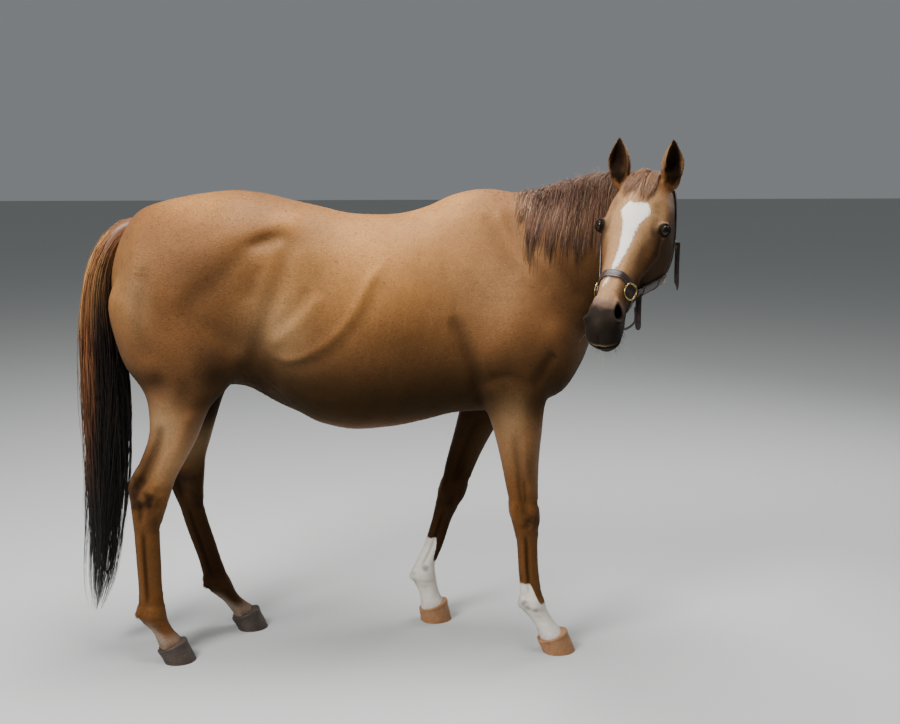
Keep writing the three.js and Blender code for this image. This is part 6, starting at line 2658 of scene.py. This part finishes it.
    def _safe(self, ring: Ring, side: int) -> None:
        """The leather pad behind a ring, which keeps the metal off the skin."""
        centre, axis, down, across = self._ring_frame(ring, side)
        a = np.linspace(0, 2 * np.pi, 48, endpoint=False)[None]
        share = np.array([0.9, 0.96, 0.97, 0.93, 0.8, 0.4])[:, None]
        height = np.array([-13, -7, -4.2, -3.0, -2.5, -2.4])[:, None, None]
        outline = (np.abs(np.cos(a)) ** 2.3 + np.abs(np.sin(a)) ** 2.3) ** (-1 / 2.3) * ring.radius * share
        rings = (
            down * (np.cos(a) * outline * ring.stretch)[..., None] + across * (np.sin(a) * outline)[..., None]
        )
        mesh = closed_loft(centre + rings + axis * height)
        self._finish(f"{ring.node}_pad", outward(mesh), self.leather, "leather")

    def _tongue(self) -> None:
        """The buckle's tongue, a tapering pin across its frame."""
        along, left, _ = HEAD.axes()
        centre = (middle("left_buckle") - ORIGIN) * 1000
        t = np.linspace(-1, 1, 12)
        a = np.linspace(0, 2 * np.pi, 10, endpoint=False)
        radius = (1.5 - 0.5 * (t + 1) / 2) * rounding(1.0 - np.abs(t) + 0.02, 0.2)
        line = centre + along * (t * 13.5)[:, None] + left * (1.2 + 0.8 * t)[:, None]
        ring = left * np.cos(a)[:, None] + np.cross(along, left) * np.sin(a)[:, None]
        mesh = closed_loft(line[:, None] + ring[None] * radius[:, None, None])
        self._finish("buckle_tongue", outward(mesh), self.brass, "brass")

    def _hanging(
        self, node: str, top: tuple, width: float, length: float, slant: float, above: float
    ) -> None:
        """A loose strap end that hangs straight down with a slanted tip.

        Args:
            node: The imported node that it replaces.
            top: Place on the head (along, across, out) of its packed top.
            width: Width.
            length: Length below that place, to the tip's shoulders.
            slant: How much lower one corner of the tip is.
            above: Length above that place, which runs up to the strap that holds it.
        """
        heading = HEAD.heading()
        wide = np.cross(UP, heading)
        t = np.linspace(0, 1, 44)
        start = HEAD.point(*top)
        bow = heading * (np.sin(np.pi * t) * 4)[:, None]
        line = (
            start + UP * (above - t * (above + length + width / 2))[:, None] + bow
            + heading * self.thick * 0.2
        )
        tip = np.sqrt(np.clip(1 - ((t - 0.86) / 0.145).clip(0, 1) ** 2, 0.02, 1)) * width / 2
        cut = UP * (ease(t, 0.8, 1.0) * slant)[:, None]
        low = line - wide * tip[:, None] + cut
        high = line + wide * tip[:, None] - cut
        out = np.broadcast_to(heading, low.shape)
        self.stitched.append((low[2:36], high[2:36], out[2:36] * 1.0))
        mesh = closed_loft(band_rings(low, high, out, self.thick * 0.8))
        self._finish(node, outward(mesh), self.leather, "leather")

    def _chin_loop(self) -> None:
        """A rolled leather loop under the chin, from one jaw strap's foot to the other's."""
        curve = Path(
            [
                tuple(HEAD.point(408, 46, -150)),
                tuple(HEAD.point(428, 40, -196) - UP * 6),
                tuple(HEAD.point(436, 0, -216) - UP * 12),
                tuple(HEAD.point(428, -40, -196) - UP * 6),
                tuple(HEAD.point(408, -46, -150)),
            ]
        )
        t = np.linspace(0, 1, 64)
        a = np.linspace(0, 2 * np.pi, 12, endpoint=False)
        run = curve.heading(t)
        aside = unit(np.cross(run, UP + 0.01))
        over_it = np.cross(aside, run)
        radius = 3.6 * rounding(np.minimum(t, 1 - t) + 0.004, 0.03)
        ring = aside[:, None] * np.cos(a)[None, :, None] + over_it[:, None] * np.sin(a)[None, :, None]
        mesh = closed_loft(curve.at(t)[:, None] + ring * radius[:, None, None])
        self._finish("chin_loop", outward(mesh), self.leather, "leather")

    def _stitches(self) -> None:
        """Rows of stitches in the grooves by both edges of every strap, 5 mm apart."""
        pieces = []
        angle = np.radians([45, 135, 225, 315])
        for low, high, out in self.stitched:
            for share in (0.12, 0.88):
                line, normal = spaced(
                    [low + (high - low) * share, low + (high - low) * share + out], 5.0, False
                )
                run = unit(np.gradient(line, axis=0))
                normal = unit(normal - line)
                aside = np.cross(run, normal)
                t = np.linspace(-1, 1, 4)
                radius = np.array([0.25, 0.5, 0.5, 0.25])
                height = self.thick - 0.95 + 0.35 * (1 - t * t)
                at = (
                    line[:, None] + run[:, None] * (t * 1.7)[None, :, None]
                    + normal[:, None] * height[None, :, None]
                )
                ring = (
                    aside[:, None] * np.cos(angle)[None, :, None]
                    + normal[:, None] * np.sin(angle)[None, :, None]
                )
                pieces.append(at[:, :, None] + ring[:, None] * radius[None, :, None, None])
        points, quads, tris = outward(many(np.concatenate(pieces)))
        obj = make("headcollar_stitches", placed(points), quads, tris)
        obj.data.materials.append(self.thread)
        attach(obj, "root")


# ------------------------------------------------------------------ short coat


LEG_TOP = 760
BLADE_POINTS = 7


@dataclass(frozen=True)
class Patch:
    """A part of the coat: its name, its share of all tufts, and the stretch of her it covers."""

    name: str
    share: float
    start: float = -np.inf
    end: float = np.inf
    legs: bool = False
    head: bool = False

    def holds(self, points: Array) -> Array:
        """Which places belong to the patch."""
        by_place = (points[:, 0] >= self.start) & (points[:, 0] < self.end)
        by_height = (points[:, 2] <= LEG_TOP) == self.legs
        on_head = on_the_head(points) >= 0.5
        return on_head if self.head else by_place & by_height & ~on_head


PATCHES = (
    Patch("coat_hindquarters", 0.17, end=-560),
    Patch("coat_barrel", 0.17, start=-560, end=150),
    Patch("coat_neck", 0.14, start=150),
    Patch("coat_head", 0.19, head=True),
    Patch("coat_fore_legs", 0.165, start=-400, legs=True),
    Patch("coat_hind_legs", 0.165, end=-400, legs=True),
)


@dataclass
class Coat:
    """Short tufts over the skin: sparse on the flats, dense where they break the outline."""

    skin: Skin
    finish: bpy.types.Material
    tufts: int = 34_500
    blades: int = 3
    seed: int = 21

    def build(self) -> list[bpy.types.Object]:
        """Grow every patch of the coat.

        Returns:
            The pieces.
        """
        rng = np.random.default_rng(self.seed)
        p, t, n = self.skin.points, self.skin.tris, self.skin.normal
        centre = p[t].mean(1)
        a, b, c = (p[t[:, k]] for k in range(3))
        area = np.linalg.norm(np.cross(b - a, c - a), axis=1) / 2
        head = HEAD.local(centre)
        facing = unit(n[t].mean(1))
        wanted = area * self._density(centre, facing, head)
        pieces = []
        for patch in PATCHES:
            weight = np.where(patch.holds(centre), wanted, 0.0)
            count = int(self.tufts * patch.share) // 1
            pick = np.searchsorted(np.cumsum(weight) / weight.sum(), rng.random(count))
            pick = np.clip(pick, 0, len(t) - 1)
            u, v = rng.random((2, count))
            flip = u + v > 1
            u, v = np.where(flip, 1 - u, u), np.where(flip, 1 - v, v)
            share = np.stack([1 - u - v, u, v], 1)[:, :, None]
            pieces.append(
                self._grow(patch.name, (p[t[pick]] * share).sum(1), unit((n[t[pick]] * share).sum(1)), rng)
            )
        return pieces

    @staticmethod
    def _density(p: Array, n: Array, h: Array) -> Array:
        """Relative density of tufts: high on edges of the form, none in eyes, nostrils, mouth and hooves."""
        head = on_the_head(p)
        low = ease(-p[:, 2], -760, -600)
        edge = 0.5 + 0.9 * ease(np.abs(n[:, 2]), 0.55, 0.9) * (1 - low)
        edge += 1.1 * low * ease(-n[:, 0], 0.2, 0.8) + 0.5 * low * ease(np.abs(n[:, 0]), 0.4, 0.9)
        edge += 2.2 * low * (bell(p[:, 2] - 190, 55) * ease(-n[:, 0], 0.0, 0.6) + bell(p[:, 2] - 82, 22))
        edge += (
            1.2 * bell(p[:, 0] + 640, 70) * bell(p[:, 2] - 990, 90)
            + 0.8 * bell(p[:, 0] - 70, 60) * bell(p[:, 2] - 940, 90)
        )
        edge += head * (0.5 + 0.8 * ease(-n @ HEAD.axes()[2], 0.2, 0.8))
        edge += 2.5 * (up_ear(p) > 0.08)
        for side in (-1, 1):
            _, _, almond, reach, _ = eye_place(h, side)
            edge = np.where((reach < 60) & (almond < 2.0), 0.0, edge)
            edge = np.where((head > 0.5) & (nostril_place(h, side)[0] < 1.25), 0.0, edge)
        edge = np.where(head > 0.5, edge * (1 - 0.7 * sleek_of(p)), edge)
        under = np.zeros(len(p))
        for leg in LEGS.values():
            near = (
                (np.abs(p[:, 1] - leg.centre(p[:, 2])) < 90)
                & (np.abs(p[:, 0] - leg.line(p[:, 2])["x"]) < 110)
            )
            under += near * (p[:, 2] < leg.hair_line(p[:, 0]) + 3)
        return np.where(under > 0, 0.0, edge)

    @staticmethod
    def _length(p: Array, n: Array, h: Array) -> Array:
        """Length of the hair: 9 mm on the body, 4 on the face, longer behind the fetlocks and in the ears."""
        head = on_the_head(p)
        low = ease(-p[:, 2], -900, -600)
        size = 9.0 - 3.2 * low
        size += 1.6 * ease(-n[:, 2], 0.3, 0.9) * (1 - low)
        size += 11 * bell(p[:, 2] - 178, 32) * ease(-n[:, 0], 0.25, 0.8) * (p[:, 2] < 400)
        size += 3.5 * bell(p[:, 2] - 80, 18) + 3.0 * bell(p[:, 0] + 1120, 40) * (p[:, 2] > 1300)
        size = size * (1 - head) + head * (4.2 + 3.0 * ease(-n @ HEAD.axes()[2], 0.2, 0.8))
        size = np.where((head > 0.5) & (h[:, 0] > 490), 2.6, size)
        inside = np.zeros(len(p))
        for side in (-1, 1):
            _, _, front, _ = ear_frame(side)
            inside = np.maximum(inside, (side * h[:, 1] > 20) * ease(n @ front, 0.2, 0.8))
        ear = up_ear(p)
        return np.where(ear > 0.08, 4.5 + 9 * inside * ease(-ear, -0.75, -0.2), size)

    @staticmethod
    def _loose(p: Array, n: Array) -> Array:
        """How far the hair stands off the skin: at belly, jaw, fetlocks, coronets, ears and dock."""
        head, low = on_the_head(p), ease(-p[:, 2], -760, -600)
        loose = (
            0.7 * ease(-n[:, 2], 0.4, 0.9) * (1 - low)
            + 0.8 * low * bell(p[:, 2] - 180, 45) * ease(-n[:, 0], 0, 0.6)
        )
        loose += 0.5 * low * bell(p[:, 2] - 80, 18) + 0.3 * low * ease(-n[:, 0], 0.5, 1.0)
        loose += 0.6 * head * ease(-n @ HEAD.axes()[2], 0.3, 0.9) + 0.7 * (up_ear(p) > 0.08)
        return np.clip(loose, 0, 1)

    def _grow(self, name: str, root: Array, normal: Array, rng: np.random.Generator) -> bpy.types.Object:
        """Make one piece of tufts, shaded with the skin's own normals so that they blend into it.

        Each blade has a triangle at its root, another half way and a point at its tip. It leaves the skin at
        a low angle along the lie of the hair.

        Args:
            name: The piece's name.
            root: Places of the tufts.
            normal: Skin normals there.
            rng: The random source.

        Returns:
            The piece.
        """
        h = HEAD.local(root)
        way = lie_of(root, normal)
        length = self._length(root, normal, h)
        # The tufts take the skin's colours, painted shade and highlights included.
        tone = tint_of(root, normal) * rng.uniform(0.8, 1.25, (len(root), 1))
        k = self.blades

        def each(values: Array) -> Array:
            """Repeat the values of each tuft for its blades."""
            return np.repeat(values, k, axis=0)

        p, n, d, size = (
            each(root), each(normal), each(way), each(length) * rng.uniform(0.7, 1.2, len(root) * k)
        )
        aside = np.cross(n, d)
        fan = np.tile(np.linspace(-1, 1, k), len(root)) + rng.normal(0, 0.3, len(p))
        loose = each(self._loose(root, normal))
        d = unit(d + aside * (rng.normal(0, 0.07, len(p)) * (1 + 2 * loose))[:, None])
        d = unit(
            d + n * (rng.uniform(0.015, 0.05, len(p)) + loose * rng.uniform(0.03, 0.15, len(p)))[:, None]
        )
        p = p + aside * (fan * 2.4)[:, None] + d * (rng.uniform(-3, 3, len(p)))[:, None] - n * 0.12
        half = (0.24 + 0.03 * size)[:, None]
        mid = p + d * (size * 0.5)[:, None] + n * (0.02 * size)[:, None]
        tip = p + d * size[:, None]
        ridge = n * 0.16
        points = np.stack(
            [
                p - aside * half,
                p + aside * half,
                p + ridge,
                mid - aside * half * 0.85,
                mid + aside * half * 0.85,
                mid + ridge * 1.1,
                tip,
            ],
            1,
        )
        quads = np.array([[0, 3, 4, 1], [1, 4, 5, 2], [2, 5, 3, 0]])
        tris = np.array([[0, 1, 2], [3, 6, 4], [4, 6, 5], [5, 6, 3]])
        shift = (np.arange(len(p)) * BLADE_POINTS)[:, None, None]
        mesh = outward((points.reshape(-1, 3), (quads + shift).reshape(-1, 4), (tris + shift).reshape(-1, 3)))
        obj = make(name, placed(mesh[0]), mesh[1], mesh[2])
        lean = np.array([-1, 1, 0, -1, 1, 0, 0])[None, :, None] * 0.3
        obj.data.normals_split_custom_set_from_vertices(
            unit(n[:, None] + aside[:, None] * lean).reshape(-1, 3)
        )

        def spread(values: Array) -> Array:
            """Repeat the values of each tuft for every point of its blades."""
            return np.repeat(each(values), BLADE_POINTS, axis=0)

        paint(
            obj,
            tint=spread(tone),
            white=spread(white_field(root)),
            grey=spread(grey_spots(root)),
            sleek=spread(sleek_of(root)),
            comb=spread(comb_of(root)),
        )
        corner = np.array([[0, 0], [1, 0], [0.5, 0.5], [0, 1.5], [1, 1.5], [0.5, 1.5], [0.5, 3]]) * 0.001
        bake_map(obj, (each(unwrap(root))[:, None] + corner[None]).reshape(-1, 2))
        obj.data.materials.append(self.finish)
        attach(obj, "root")
        log.info("%s: %d blades", name, len(p))
        return obj


@dataclass
class FineHairs:
    """Whiskers of muzzle and chin, and lashes of both eyes."""

    skin: Skin
    seed: int = 31

    def build(self, finish: bpy.types.Material) -> list[bpy.types.Object]:
        """Cast roots onto the skin and curve each hair out of it.

        Returns:
            Whiskers and lashes.
        """
        rng = np.random.default_rng(self.seed)
        along, left, face = HEAD.axes()
        tree = self.skin.tree()
        n = 130
        s, turn = rng.uniform(500, 592, n), rng.uniform(-2.9, -0.25, n)
        ray = left * np.cos(turn)[:, None] + face * np.sin(turn)[:, None]
        start = HEAD.point(s, 0.0, -84.0)
        hits = [tree.ray_cast(Vector(a), Vector(b), 120) for a, b in zip(start, ray)]
        good = np.array([k[0] is not None for k in hits])
        root = np.array([k[0] for k in hits if k[0] is not None])
        out = unit(ray[good] + along * 0.5 - UP * 0.3)
        length = rng.uniform(9, 26, len(root))
        long = rng.random(len(root)) < 0.1
        length = np.where(long, rng.uniform(45, 80, len(root)), length)
        tone = np.where(long[:, None], rgb("c9b9a6"), rgb("3a302c"))
        pieces = [self._hairs("muzzle_whiskers", root, out, length, np.full(len(root), 0.55), tone, finish)]
        lash_root, lash_out = [], []
        for side in (-1, 1):
            look, front, up = gaze(side)
            a = np.linspace(-14, 15, 46) + rng.normal(0, 0.5, 46)
            b = 13.4 * np.sqrt(np.clip(1 - (np.abs(a) / 20.5) ** 1.8, 0.05, 1))
            direction = (
                look * np.cos(b / EYE_RADIUS)[:, None] + (front * a[:, None] + up * b[:, None]) / EYE_RADIUS
            )
            middle_at = np.array([EYE_AT[0], side * EYE_AT[1], EYE_AT[2]])
            at = middle_at + unit(direction) * (EYE_RADIUS + 2.8)
            lash_root.append(HEAD.point(*at.T))
            spread = front * (a / 34 + rng.normal(0, 0.12, 46))[:, None]
            lash_out.append(unit(look - up * 0.1 + np.array([0.25, 0, 0]) + spread) @ HEAD.axes())
        root, out = np.vstack(lash_root), np.vstack(lash_out)
        length = rng.uniform(6, 12, len(root))
        tone = np.tile(rgb("4a3a30"), (len(root), 1))
        pieces.append(self._hairs("eye_lashes", root, out, length, np.full(len(root), 0.4), tone, finish))
        return pieces

    @staticmethod
    def _hairs(
        name: str,
        root: Array,
        out: Array,
        length: Array,
        width: Array,
        tone: Array,
        finish: bpy.types.Material,
    ) -> bpy.types.Object:
        """Tapering hairs that leave the skin straight and droop a little."""
        share = np.linspace(0, 1, 7)
        droop = -UP * (share**2 * 0.22)[None, :, None] * length[:, None, None]
        lines = root[:, None] + out[:, None] * (share[None, :] * length[:, None] - 0.8)[..., None] + droop
        widths = width[:, None] * (1 - 0.75 * share)
        obj = strands(name, lines, widths, np.repeat(tone[:, None], 7, axis=1), 1.0)
        obj.data.materials.append(finish)
        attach(obj, "root")
        return obj


# ------------------------------------------------------------------ scene


def main() -> None:
    """Build the horse piece by piece and finish the scene."""
    logging.basicConfig(level=logging.INFO, format="%(relativeCreated)d %(message)s")
    Studio().build()
    skin = Skin()
    body = skin.build()
    coat = CoatFinish().build()
    dress_coat(body, skin.points, skin.normal, coat)
    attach(body, "root")
    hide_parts(*FLESH)
    hair = HairFinish().build()
    Mane().build(skin, hair)
    Forelock().build(skin, hair)
    Tail().build(hair)
    pale = HornFinish("horn_pale", "b08258", "7c4e2c").build()
    dark = HornFinish("horn_dark", "54443a", "221b18").build()
    for name, leg in LEGS.items():
        fore = name.endswith("fore")
        hoof = Hoof(leg).build(pale if fore else dark)
    wet = EyeFinish().build()
    for side in (-1, 1):
        Eye(side).build(wet)
    Coat(skin, coat).build()
    FineHairs(skin).build(hair)
    HeadCollar(skin.tree(), LeatherFinish().build(), BrassFinish().build(), ThreadFinish().build()).build()


if __name__ == "__main__":
    main()
